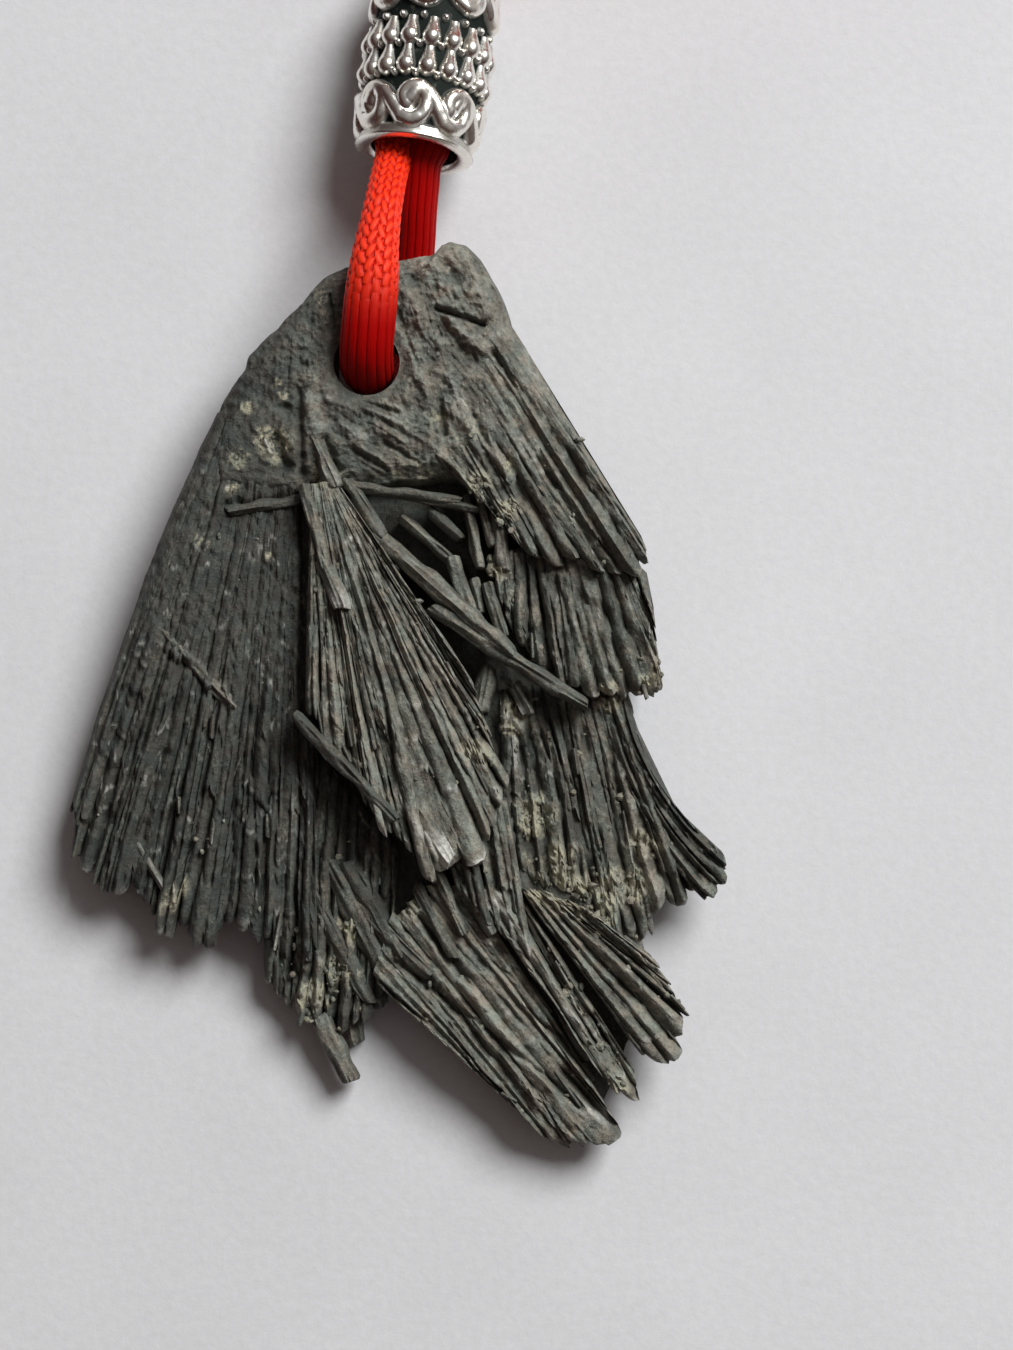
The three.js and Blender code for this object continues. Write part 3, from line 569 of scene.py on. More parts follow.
def spray_shape(spray, settings):
    """Blades side by side, with a ring round the spray for each line of its grid: along its face to the
    tip, down the broken end, and back below in five steps. The lines sway a little, the outer edges bow
    out, and the whole spray may bend by a parabola along it."""
    side, seed = spray["side"], spray["seed"]
    grid = spray_grid(spray, settings)
    blade, needle = blade_pattern(spray, grid.t), needle_pattern(spray, grid)
    begin, tip, chip = spray_ends(spray, grid, blade, needle)
    top, groove, pale, tone, end_tone = spray_face(spray, grid, blade, needle, settings)
    start, run, long = grid.start, grid.end - grid.start, grid.long[:, None]
    columns = len(grid.t)
    below = np.linspace(0, 1, 5)
    shares = np.concatenate([
        mix(begin[:, None], (tip + 0.4 * chip)[:, None], grid.s),
        np.stack([tip + chip, tip - chip], 1),
        mix((tip - spray["inset"] / grid.long)[:, None], (begin + 0.2 / grid.long)[:, None], below),
    ], 1)
    foot = np.full(columns, spray["tops"][1] - side * BLADE["thick"])
    end_heights = np.stack([mix(top[:, -1], foot, 0.5), foot], 1)
    heights = np.concatenate([top, end_heights, np.full((columns, 5), float(spray["slab"]))], 1)

    swell = (4 * shares * np.clip(1 - shares, 0, 1))[:, :, None]
    sway = 0.06 * grain(grid.t[:, None] * grid.widths[1] / 0.9, shares * long / 2.2, seed + 5)
    aside = np.stack([-(run / long)[:, 1], (run / long)[:, 0]], -1)
    outward = (grid.end[-1] - grid.end[0]) / np.linalg.norm(grid.end[-1] - grid.end[0])
    pushed = (spray["bulges"][1] * grid.t**4 - spray["bulges"][0] * (1 - grid.t) ** 4)[:, None, None]
    plan = start[:, None] + run[:, None] * shares[:, :, None] + sway[:, :, None] * aside[:, None]
    plan = plan + swell * pushed * outward + swell * np.array(spray["bend"])
    rings = np.concatenate([plan, heights[:, :, None]], -1)

    # Painted shade down each broken end, darkest below it; half of it gives the broken end's paleness.
    end_and_under_shade = np.tile([[0.5, 0.3] + [0.1] * 5], (columns, 1))
    values = {
        "groove": np.concatenate([groove, end_and_under_shade], 1),
        "pale": np.concatenate([pale, 0.5 * end_and_under_shade], 1),
        "matrix": np.concatenate([specks(grid.x, grid.y), 0 * end_and_under_shade], 1),
        "tone": np.concatenate([tone, end_tone + 0 * end_and_under_shade], 1),
        "u": (grid.far + seed * 37) + 0 * shares,
        "v": shares * long,
    }
    if side < 0:
        rings = rings[:, ::-1]
        values = {key: value[:, ::-1] for key, value in values.items()}
    return loft(rings, **values)


# Places where the fan is grainy with matrix: x, y, and how far it reaches.
CRUMBLY = (
    (9.6, -11.2, 2.4), (12.5, -12.2, 2.2), (6.9, -1.2, 1.5), (8.2, -7.4, 1.6), (14.6, -11.6, 1.6),
    (-7.5, 15.5, 1.6), (-4.2, 13.5, 1.2), (1.6, 12.9, 1.8), (14.8, -9.2, 1.2), (5.2, -3.4, 1.2),
    (5, 12.6, 1.3), (7, 11.3, 1.2), (5.8, 8, 1.3), (0.7, -12.7, 1.1), (-2.9, -14.3, 1.3),
    (-3.4, -16.6, 1.4), (-5.2, -18.6, 1.2), (13.4, -23.6, 1.2), (-13.4, -12.2, 1), (16, 1, 1.2),
    (13, -0.2, 0.9),
)


def crumbly(x, y):
    """How grainy a place is from 0 to 1: the greatest of even falls away from each of the grainy places,
    frayed by noise."""
    frayed = 0.35 * spots(x, y, 0.8, 31)
    near = [1 - np.hypot(x - cx, y - cy) / reach for cx, cy, reach in CRUMBLY]
    return smooth(0, 0.7, np.max(near, axis=0) + frayed)


# Single ridges, grooves and pale breaks on the face, and one painted glint: both ends, half width, height
# and paleness.
STROKES = (
    # the worn stem: cracks, pits, and short crystals grown aslant
    ((2.5, 23.6), (5.4, 22.65), 0.15, -0.75, 0),
    ((6, 20.9), (7.2, 18.8), 0.17, -0.6, 0),
    ((3.4, 22.7), (5.2, 21.1), 0.38, 0.38, 0.12),
    ((5.2, 21.1), (6.4, 22.4), 0.32, 0.3, 0.1),
    ((0.4, 24.7), (2.7, 21.2), 0.42, 0.35, 0.05),
    ((0.1, 23.5), (1.4, 20), 0.2, -0.3, 0),
    ((1.1, 20.6), (1.9, 18.2), 0.35, 0.28, 0.05),
    ((2.7, 17.9), (3, 15.9), 0.22, -0.5, 0),
    ((3.4, 19.1), (5.2, 15), 0.45, 0.38, 0.12),
    ((4.5, 17.6), (5.7, 15.1), 0.18, -0.4, 0),
    ((5.4, 17), (6.4, 13.9), 0.36, 0.35, 0.1),
    ((6.9, 16.1), (8.1, 13.9), 0.36, 0.35, 0.1),
    ((-1.7, 17.4), (0.4, 16.5), 0.26, 0.32, 0.08),
    ((-1.9, 17.9), (0.2, 17.2), 0.14, -0.3, 0),
    ((-4, 18), (-2.8, 17.6), 0.28, 0.22, 0.05),
    ((-3.4, 16.5), (-1.9, 15.6), 0.26, 0.28, 0.12),
    ((-2.6, 15.5), (-1, 14.3), 0.28, 0.32, 0.08),
    ((-2.5, 15), (-0.5, 13.8), 0.16, -0.55, 0),
    ((-1.3, 16.5), (0.6, 15.3), 0.24, 0.28, 0),
    ((-0.6, 15.4), (1.4, 14.2), 0.16, -0.35, 0),
    ((0.8, 16.2), (2.6, 14.9), 0.26, 0.25, 0.05),
    ((-4, 24.4), (-3.7, 22.4), 0.17, -0.4, 0),
    ((-6.6, 17.5), (-6.5, 17.3), 0.4, -0.55, 0),
    ((-7.2, 15.8), (-6.6, 13.9), 0.4, -0.65, 0),
    # a small ridge whose paleness is a painted highlight, a glint by the pits
    ((-7.8, 15.5), (-7.5, 14.8), 0.14, 0.3, 0.5),
    ((-5.8, 18.5), (-5.6, 13.3), 0.22, -0.5, 0),
    ((-5.3, 17.9), (-4.4, 15.1), 0.42, 0.35, 0.05),
    ((-4.3, 15.5), (-3.4, 13.8), 0.26, -0.7, 0),
    ((-1.9, 13.9), (-1.7, 13.7), 0.5, -0.35, 0),
    ((0.3, 26.4), (2.2, 26.4), 0.35, 0.16, 0.05),
    ((4.2, 27.1), (5.7, 23.5), 0.32, 0.22, 0.05),
    ((3, 26.5), (4.8, 23.5), 0.3, -0.2, 0),
    # the sprays: deep grooves, streaks and fresh breaks
    ((-5.6, 12), (-5.4, -1.2), 0.3, -0.7, 0),
    ((0.7, -6.6), (2.9, -9.9), 0.2, 0.1, 0.5),
    ((4.8, 2.4), (4.8, 0.1), 0.22, 0.2, 0.45),
    ((5.7, 1.2), (5.7, -1.2), 0.3, 0.25, 0.4),
    ((6.3, -0.9), (7.5, -1.6), 0.25, 0.2, 0.5),
    ((7.2, -2.4), (7.2, -4.2), 0.2, 0.15, 0.4),
    ((6, -5.5), (6.2, -6.1), 0.25, 0.15, 0.5),
    ((6, -12.1), (7.2, -13.9), 0.18, 0.15, 0.6),
    ((7.6, -14.5), (8.4, -16), 0.18, 0.15, 0.6),
    ((10.2, -18.8), (11.4, -19.7), 0.2, 0.15, 0.4),
    ((11.5, -24.6), (12.7, -25.1), 0.35, 0.15, 0.5),
    ((9.3, -20), (12.7, -23.3), 0.22, -0.6, 0),
    ((1.8, -13.6), (4.5, -17.3), 0.25, -0.7, 0),
    ((0.2, -16), (11.1, -24.4), 0.2, -0.55, 0),
    ((-10.2, 11.6), (-5.6, 12.1), 0.3, -0.6, 0),
    ((-13.2, 3), (-9.9, -0.3), 0.22, 0.3, 0.15),
    ((-13.7, 2.9), (-10.4, -0.4), 0.16, -0.4, 0),
)
# Specks of matrix: place and reach.
SPECKS = (
    (-7.1, 19.1, 0.35), (-6.7, 18.2, 0.4), (-9.5, 14.5, 0.7), (-9.8, 12.7, 0.4), (4.5, 15.8, 0.9),
    (6.9, 13.9, 0.6), (-4.6, 24.6, 0.6), (-7.6, 8.4, 0.3), (-11.4, 9.4, 0.5), (-5.6, 5.8, 0.3),
    (2.6, 16.9, 0.5), (-8.9, 17.6, 0.5),
)


def strokes(x, y):
    """The strokes' height and paleness at each point: each stroke's own, times an even bell of the distance
    from its line, whose width is frayed by noise, and summed for the height and the greatest for the
    paleness."""
    frayed = 1 + 0.45 * spots(x, y, 0.5, 41)
    height, pale = np.zeros(np.shape(x)), np.zeros(np.shape(x))
    for start, end, half, rise, light in STROKES:
        bell = np.exp(-(strip_distance(x, y, (start, end)) / (half * frayed)) ** 2)
        height = height + rise * bell
        pale = np.maximum(pale, light * bell)
    return height, pale


def specks(x, y):
    """How much matrix shows from 0 to 1: the grainy places, and a ragged spot about each speck."""
    ragged = 0.5 * spots(x, y, 0.22, 43)
    near = [1.2 - np.hypot(x - cx, y - cy) / reach for cx, cy, reach in SPECKS]
    return np.maximum(crumbly(x, y), 0.9 * smooth(0.1, 0.8, np.max(near, axis=0) + ragged))


def bar_shape(starts, ends, widths, deeps, pales, seed, stations=6, ribs=3):
    """Bars with a ridged face. Round each at its stations along it are two feet and ribs on its face, which
    drop evenly from the ridge to the shoulders. The bar narrows a little towards its ends, which are cut
    aslant, and noise along it moves its width and its face."""
    starts, ends = np.asarray(starts, float), np.asarray(ends, float)
    one, widths, deeps, pales = (np.asarray(a, float)[:, None, None]
                                 for a in (np.arange(len(starts)), widths, deeps, pales))
    run = (ends - starts)[:, :2]
    long = np.linalg.norm(run, axis=1)[:, None, None]
    run = run / long[:, 0]
    side = np.stack([run[:, 1], -run[:, 0]], -1)
    even = np.ones(stations - 4)
    s, swell, end_share = (np.concatenate(parts)[:, None] for parts in (
        ([0, 0.03], np.linspace(0.15, 0.85, stations - 4), [0.97, 1]),
        ([0.7, 0.9], even, [0.9, 0.7]),
        ([-1, -0.3], 0 * even, [0.3, 1]),
    ))
    x = np.concatenate([np.linspace(1, -1, ribs), [-1, 1]])
    peak = mix(-0.45, 0.45, chance(seed + one, 1))
    lean = [mix(0.15, 0.75, chance(seed + one, k)) * 0.65 * widths for k in (2, 3)]
    spread = np.where(x < peak, (peak - x) / (peak + 1), (x - peak) / (1 - peak))
    rough = grain(seed + one * 3.3 + x * widths / 0.3, s * long / 1.6 + one, 7)
    bow = 0.3 * np.abs(x) ** 3 * np.minimum(widths, 1)
    drop = spread * np.where(x < peak, *lean) + bow - 0.24 * np.minimum(widths, 0.8) * (rough - 0.4)
    drop[..., -2:] = deeps
    jitter = 1 + 0.3 * grain(one * 5.1 + 0.7 * x, s * long / 1.1, 8)
    half = widths / 2 * swell * jitter
    cut = mix(-0.6, 0.6, chance(seed + one, 4)) * x * end_share
    plan = starts[:, None, None, :2] + (ends - starts)[:, None, None, :2] * s[..., None]
    plan = plan + side[:, None, None] * (x * half)[..., None] + run[:, None, None] * (cut * half)[..., None]
    level = mix(starts[:, None, None, 2], ends[:, None, None, 2], s)
    sunk = (1 - swell) * 0.4 * np.minimum(widths, 1)
    rings = np.concatenate([plan, (level - sunk - drop)[..., None]], -1)
    shade = np.clip(0.68 + 0.7 * rough - 0.45 * spread**2, 0, 1)
    shade[..., -2:] = 0.2
    return loft(
        rings, groove=shade, tone=0.45 + 0.4 * chance(seed + one, 5) + np.minimum(pales, 0),
        pale=1.4 * np.maximum(pales, 0) * smooth(0.5, 1, s), u=one * 2.3 + x * half, v=s * long,
    )


def chips_shape(spray, count, seed):
    """Splinters that lie along a spray: each starts at a random place on it and follows the blade there for
    a few millimetres, a little askew."""
    own = seed + np.arange(count)
    t, s = chance(own, 21), mix(0.2, 0.93, np.sqrt(chance(own, 22)))
    first, last = along(spray["start"], t), along(spray["end"], t)
    reach = np.linalg.norm(last - first, axis=1)
    ahead = np.minimum(s + mix(1, 5, chance(own, 23) ** 2) / reach, 1.0)
    run = (last - first) / reach[:, None]
    skew = np.stack([-run[:, 1], run[:, 0]], -1) * mix(-0.35, 0.35, chance(own, 24))[:, None]
    lift = mix(-0.25, 0.05, chance(own, 25))
    starts, ends = (
        np.column_stack([first + (last - first) * share[:, None] + aside, mix(*spray["tops"], share) + lift])
        for share, aside in ((s, 0), (ahead, skew))
    )
    widths, pales = mix(0.12, 0.36, chance(own, 26)), 0.3 * (chance(own, 27) > 0.8)
    return bar_shape(starts, ends, widths, np.full(count, 0.8), pales, seed)


def crumbs_shape(spray, count, seed):
    """Crumbs of matrix on a spray's grainy places: small balls of five rings by six points, stretched and
    dented at random, half sunk in the blades."""
    own = seed + np.arange(count)
    t, s = chance(own, 30), chance(own, 31)
    first, last = along(spray["start"], t), along(spray["end"], t)
    place = first + (last - first) * (s * 0.97)[:, None]
    kept = (crumbly(*place.T) > 0.25 + 0.6 * chance(own, 32)) | (chance(own, 43) < 0.05)
    own, place, s = own[kept], place[kept], s[kept]
    centre = np.column_stack([place, mix(*spray["tops"], s) - 0.55 + 0.25 * chance(own, 33)])
    turn = np.linspace(0, 2 * np.pi, 6, endpoint=False)[None, :]
    rise = np.linspace(np.pi - 0.3, 0.3, 5)[:, None]
    ball = np.stack([np.sin(rise) * np.cos(turn), np.sin(rise) * np.sin(turn), np.cos(rise) + 0 * turn], -1)
    own_each = own[:, None, None]
    dent = 0.7 + 0.6 * chance(own_each, ball[None, ..., 0] * 9 + ball[None, ..., 2] * 5)
    size = mix(0.08, 0.26, chance(own, 35) ** 2)
    stretch = size[:, None] * np.stack([mix(0.6, 1.5, chance(own, 36 + k)) for k in range(3)], -1)
    rings = centre[:, None, None] + ball[None] * dent[..., None] * stretch[:, None, None]
    return loft(
        rings, tone=0.4 + 0.8 * chance(own_each, 40), groove=0.55 + 0.45 * chance(own_each, 41),
        matrix=0.7 * chance(own_each, 42), u=rings[..., 0], v=rings[..., 1],
    )


def outline_reach(outline, middle, angles):
    """How far the outline is from the middle at each angle, by interpolation round it."""
    offset = np.asarray(outline, float) - middle
    bearing = np.arctan2(offset[:, 1], offset[:, 0])
    order = np.argsort(bearing)
    return np.interp(angles, bearing[order], np.hypot(*offset[order].T), period=2 * np.pi)


def stem_shape(settings):
    """The stem: a ring about the drilled hole. Each column goes up the hole's wall, out over the face,
    round the edge and back under, at one bearing. The face's height falls with the share of the way out to
    the outline, and carries fibres that run down from the top on the left and aslant on the right, and
    lumps."""
    hole = np.array([HOLE["x"], HOLE["y"]])
    bearing = np.linspace(-np.pi, np.pi, STEM_COLUMNS, endpoint=False)
    reach = outline_reach(STEM_OUTLINE, hole, bearing)[:, None]
    ray = np.stack([np.cos(bearing), np.sin(bearing)], -1)
    first = HOLE["radius"] / reach
    out = np.concatenate([np.linspace(0, 1, STEM_ROWS) ** 0.95 * 0.975, [0.99, 1.0]])[None]
    face_share = mix(first, 1, out)
    back_share = mix(first, 1, np.linspace(0.97, 0, STEM_BACK_ROWS)[None])
    share = np.concatenate([face_share, np.ones_like(first), back_share], 1)
    plan = hole + ray[:, None] * (reach * share)[..., None]
    x, y = plan[..., 0], plan[..., 1]

    # How far out each point is from the stem's own middle, which sets its height.
    offset = plan - STEM_MIDDLE
    angle = np.arctan2(offset[..., 1], offset[..., 0])
    shares = np.hypot(offset[..., 0], offset[..., 1]) / outline_reach(STEM_OUTLINE, STEM_MIDDLE, angle)
    face = np.interp(shares, *np.transpose(STEM_FACE))
    under = np.interp(shares, *np.transpose(STEM_BACK))
    right = smooth(0.5, 4.5, x + 0.25 * (y - 19))
    u = mix(np.arctan2(x + 5.5, 33 - y) * 26, x * 0.83 + y * 0.55, right)
    v = mix(y, x * 0.55 - y * 0.83, right)
    fibres = billow(u / 0.7, v / 4, 3) + 0.5 * billow(u / 0.33, v / 2, 4) - 0.8
    lumps = 0.6 * grain(x / 1.9, y / 1.5, 5) + 0.4 * grain(x / 0.9, y / 0.8, 6)
    plates = flakes(x / 1.5 + 0.3 * y, y / 1.3, 10) + 0.6 * flakes(x / 0.7, y / 0.6 + 0.4 * x, 14)
    aslant = billow((0.55 * x + 0.83 * y) / 0.55, (0.83 * x - 0.55 * y) / 1.9, 7) - 0.5
    short = smooth(3.6, 1.6, np.hypot((x + 0.6) / 1.25, y - 15.6))
    short = short + smooth(2.6, 1, np.hypot(x - 3.6, y - 21.8))
    grains = 0.3 * spots(x, y, 0.34, 21) + 0.22 * spots(x, y, 0.18, 22)
    stroke, light = strokes(x, y)
    relief = settings.stem_relief * (
        fibres * mix(0.12, 0.45, right) + lumps * mix(0.3, 0.6, right) + aslant * 0.5 * np.clip(short, 0, 1)
        + plates * mix(0.16, 0.3, right) + grains * 0.6)
    relief = relief + stroke
    near_hole = smooth(HOLE["radius"] + 1.1, HOLE["radius"], np.hypot(x - hole[0], y - hole[1]))
    face = face + relief * (1 - near_hole) - 0.35 * near_hole**2
    under = under + 0.16 * grain(u / 0.9, v / 3, 8) + 0.25 * near_hole**2
    n_face = face_share.shape[1]
    edge = mix(face[:, n_face - 1], under[:, n_face], 0.55)[:, None]
    z = np.concatenate([face[:, :n_face], edge, under[:, n_face + 1:]], 1)
    plan[:, n_face] = hole + ray * reach * EDGE_BULGE
    wall = np.linspace(0, 1, 6)[None, 1:-1]
    wall_z = mix(z[:, -1:], z[:, :1], wall)
    wall_plan = np.repeat(plan[:, :1], wall.shape[1], 1)
    plan, z = np.concatenate([plan, wall_plan], 1), np.concatenate([z, wall_z], 1)
    points = np.concatenate([plan, z[..., None]], -1)

    def pad(value, fill):
        """A value of the face and the back, carried on over the hole's wall as fill."""
        return np.concatenate([value, np.full((len(bearing), wall.shape[1]), fill)], 1)

    # Painted shade: the groove value is lower where the relief is low, on the edge and the back, and lowest
    # on the hole's wall.
    groove = np.clip(0.68 + 0.5 * relief + 0.2 * plates + 0.5 * grains + 0.4 * stroke, 0, 1)
    groove[:, n_face:] = 0.6
    tone = 0.5 - 0.5 * smooth(-4.5, -7.5, x) + 0.22 * smooth(-3, 1, x)
    tone = tone + 0.25 * spots(x, y, 1.6, 9) + 0.15 * spots(x, y, 0.5, 11)
    return Shape(
        points, closed_quads(*points.shape[:2])[:, ::-1], groove=pad(groove, 0.25), tone=pad(tone, 0.5),
        pale=pad(light, 0.0), matrix=pad(specks(x, y), 0.0), u=pad(0.5 * u, 0.0), v=pad(1.8 * v, 0.0),
    )


def core_shape():
    """The mass inside: rings of an even outline grow from its middle over the top to the edge, and back
    below. The top carries ridges that run away from the stem, and drops towards the edge."""
    middle = np.array(CORE_MIDDLE)
    bearing = np.linspace(np.pi, -np.pi, CORE_COLUMNS, endpoint=False)
    reach = outline_reach(CORE_OUTLINE, middle, bearing)
    ray = np.stack([np.cos(bearing), np.sin(bearing)], -1)
    share = np.concatenate([np.linspace(0.01, 1, CORE_ROWS), [1, 0.01]])
    plan = middle + ray[None] * (reach[None] * share[:, None])[..., None]
    x, y = plan[..., 0], plan[..., 1]
    swing = np.arctan2(x + 2, 24 - y) * 30
    fibres = billow(swing / 0.9, y / 4, 51) + 0.6 * billow(swing / 0.4, y / 3, 52) - 1
    height = CORE_LEVELS[1] + 0.5 * fibres + 0.15 * flakes(x, y / 2, 53)
    height = height - 0.8 * smooth(0.85, 1, share)[:, None]
    height[-2:] = CORE_LEVELS[0]
    # Painted shade: the groove value stays low on the mass inside, lowest between its fibres, so it is dark
    # where it shows between the sprays.
    groove = np.clip(0.3 + 0.35 * fibres, 0, 0.6)
    rings = np.concatenate([plan, height[..., None]], -1)
    return loft(rings, tone=0.3, groove=groove, u=swing, v=y)


def tip_over(shape):
    """Tips the flat fan about the line between its rest tips, and wears those tips flat."""
    axis = (REST_TIP_BOTTOM - REST_TIP_LEFT).normalized()
    turn = np.array(Matrix.Rotation(STEM_LIFT, 3, axis))
    shape.points = (shape.points - REST_TIP_LEFT) @ turn.T + REST_TIP_LEFT - (0, 0, REST_WEAR)
    shape.points[:, 2] = np.maximum(shape.points[:, 2], 0)
    return shape


def debris_shape(settings):
    """The blades on their own, the splinters along the sprays and the crumbs of matrix."""
    starts, ends, widths, deeps, pales = zip(*LOOSE_BLADES)
    shapes = [bar_shape(starts, ends, widths, deeps, pales, 900, stations=34, ribs=13)]
    for spray in SPRAYS:
        if spray["side"] > 0 and spray["bend"] == USUAL["bend"]:
            seed = 1000 + 50 * spray["seed"]
            share = settings.chips * spray["chips"]
            shapes.append(chips_shape(spray, max(1, int(share * spray["count"])), seed))
            shapes.append(crumbs_shape(spray, settings.crumbs, seed + 20))
    return join(shapes)


# ------------------------------------------------------------------------------------------------- the bead
BEAD_UP = np.array([
    np.sin(BEAD["turn"]) * np.cos(BEAD["dip"]),
    np.cos(BEAD["turn"]) * np.cos(BEAD["dip"]),
    -np.sin(BEAD["dip"]),
])
BEAD_ACROSS = np.array([np.cos(BEAD["turn"]), -np.sin(BEAD["turn"]), 0])
BEAD_OUT = np.cross(BEAD_ACROSS, BEAD_UP)
BEAD_COLUMNS, BEAD_ROWS = 400, 190
BEAD_BAND = 3.9
DROP_COLUMNS, DROP_PITCH, DROP_SHIFT = 17, 1.88, -0.15
DROP_LOW, DROP_HIGH = -0.36, 0.92
DROP_PHASE = 6.38
DOT_RADIUS, DOT_HEIGHT = 0.27, 0.6
SCROLLS = 8
SCROLL_RADIUS = 1.06 * BEAD_END_RADIUS
SCROLL_EYE = 2.15
SCROLL_PHASE = 6.61
# One scroll of the running band, in millimetres from its eye: a tail with a crest on the left runs down
# below the eye, and goes on round it as a spiral of these radii at these turns, in half circles.
SCROLL_TAIL = ((-3.3, 0.2), (-3, 0.65), (-2.6, 0.85), (-2.1, 0.6), (-1.5, 0), (-1, -0.6), (-0.7, -0.95))
SCROLL_TURNS = (-0.65, -0.4, 0, 0.4, 0.75, 1.05)
SCROLL_RADII = (1.12, 1.05, 0.98, 1, 0.78, 0.45)
SCROLL_HALF_WIDTH = 0.6


def in_bead(up, across):
    """A point by its distance up the bead's axis from its lower end, and across it."""
    return np.array([BEAD["x"], BEAD["y"], BEAD["z"]]) + up * BEAD_UP + across * BEAD_ACROSS


def scroll_relief(x, y):
    """Running scrolls: a rounded strip, highest along its middle, on a line that is a tail and a spiral,
    with a ball at the spiral's end."""
    turn = np.linspace(SCROLL_TURNS[0], SCROLL_TURNS[-1], 26)
    radius = np.interp(turn, SCROLL_TURNS, SCROLL_RADII)
    spiral = np.column_stack([radius * np.cos(np.pi * turn), radius * np.sin(np.pi * turn)])
    line = np.concatenate([SCROLL_TAIL, spiral])
    pitch = 2 * np.pi * SCROLL_RADIUS / SCROLLS
    local = (x + pitch / 2) % pitch - pitch / 2
    height = 0
    for shift in (-1, 0, 1):
        near = strip_distance(local + shift * pitch, y, line) / SCROLL_HALF_WIDTH
        ball = np.hypot(local + shift * pitch - spiral[-1, 0], y - spiral[-1, 1]) / (1.15 * SCROLL_HALF_WIDTH)
        height = np.maximum.reduce([
            height + 0 * near, np.clip(1 - near**2.4, 0, 1) ** 0.55, np.clip(1 - ball**2, 0, 1) ** 0.5])
    return height


def drop_relief(x, y, settings):
    """Two rows of drops with dots between: a drop is a ball at its lower end with a narrowing ridge above
    it."""
    pitch = 2 * np.pi * BEAD_MID_RADIUS / DROP_COLUMNS
    local_x = (x + pitch / 2) % pitch - pitch / 2
    y = y - DROP_SHIFT
    local_y = y - np.clip(np.floor(y / DROP_PITCH) + 0.5, -0.5, 0.5) * DROP_PITCH
    ball = np.hypot(local_x, local_y - DROP_LOW) / (0.5 * settings.drop_width)
    up = smooth(DROP_LOW, DROP_HIGH, local_y)
    half = settings.drop_width * mix(0.47, 0.26, up)
    ridge = np.sqrt(np.clip(1 - (local_x / half) ** 2, 0, 1)) * mix(0.95, 0.45, up)
    ridge = ridge * (local_y > DROP_LOW) * (local_y < DROP_HIGH)
    drop = np.maximum(np.sqrt(np.clip(1 - ball**2, 0, 1)), ridge)
    between_x = x % pitch - pitch / 2
    between_y = y - np.clip(np.round(y / DROP_PITCH), -1, 1) * DROP_PITCH
    dot = np.sqrt(np.clip(1 - (np.hypot(between_x, between_y - 0.1) / DOT_RADIUS) ** 2, 0, 1))
    return np.maximum(drop, DOT_HEIGHT * dot)


def bead_shape(settings):
    """A barrel turned about its axis: its radius bulges by a parabola, a groove parts the belly from each
    band, and the relief of drops and scrolls stands on it. The profile goes on over the rounded lips and
    back down the bore."""
    length = BEAD["length"]
    angle = np.linspace(0, 2 * np.pi, BEAD_COLUMNS, endpoint=False)[:, None]
    up = np.linspace(settings.lip_round, length - settings.lip_round, BEAD_ROWS)[None, :]
    barrel = mix(BEAD_END_RADIUS, BEAD_MID_RADIUS, 1 - (2 * up / length - 1) ** 2) - settings.bead_relief
    from_middle = up - length / 2
    belly = length / 2 - BEAD_BAND
    arc = DROP_PHASE - angle * BEAD_MID_RADIUS
    drops = drop_relief(arc, from_middle, settings) * smooth(belly + 0.6, belly + 0.4, np.abs(from_middle))
    scroll_x = SCROLL_PHASE - angle * SCROLL_RADIUS
    low = scroll_relief(scroll_x, up - SCROLL_EYE)
    high = scroll_relief(-scroll_x, (length - up) - SCROLL_EYE)
    scrolls = low * (up < BEAD_BAND) + high * (up > length - BEAD_BAND)
    lips = 0.4 * smooth(1.05, 0.7, np.minimum(up, length - up))
    relief = np.maximum.reduce([drops, scrolls, lips * np.ones_like(angle)])
    wear = 0.04 * grain(arc / 0.5, up / 0.5 + 0 * angle, 61)
    radius = barrel + settings.bead_relief * relief * (1 + wear)
    radius = np.minimum(radius, BEAD_MID_RADIUS + 0.02)

    lip = np.linspace(0, np.pi, 9)[1:-1]
    edge = settings.lip_round
    middle = (BEAD_END_RADIUS + BEAD["bore"]) / 2
    swing = (BEAD_END_RADIUS - 0.05 - BEAD["bore"]) / 2
    bore_up = np.linspace(length - edge, edge, 12)
    out, over = swing * np.cos(lip), edge * np.sin(lip)
    profile_r = np.concatenate([middle + out, 0 * bore_up + BEAD["bore"], middle - out])
    profile_up = np.concatenate([length - edge + over, bore_up, edge - over])
    all_r = np.concatenate([radius, np.tile(profile_r, (BEAD_COLUMNS, 1))], 1)[..., None]
    all_up = np.concatenate([up + 0 * angle, np.tile(profile_up, (BEAD_COLUMNS, 1))], 1)
    angle = angle[..., None]
    points = in_bead(all_up[..., None], all_r * np.cos(angle)) + all_r * np.sin(angle) * BEAD_OUT
    plain = np.full((BEAD_COLUMNS, len(profile_r)), 0.85)
    plain[:, len(lip):-len(lip)] = 0.0
    groove = np.concatenate([np.clip(np.maximum(relief, 0.9 * lips), 0, 1), plain], 1)
    return Shape(points, closed_quads(*points.shape[:2]), groove=groove, u=arc, v=all_up)


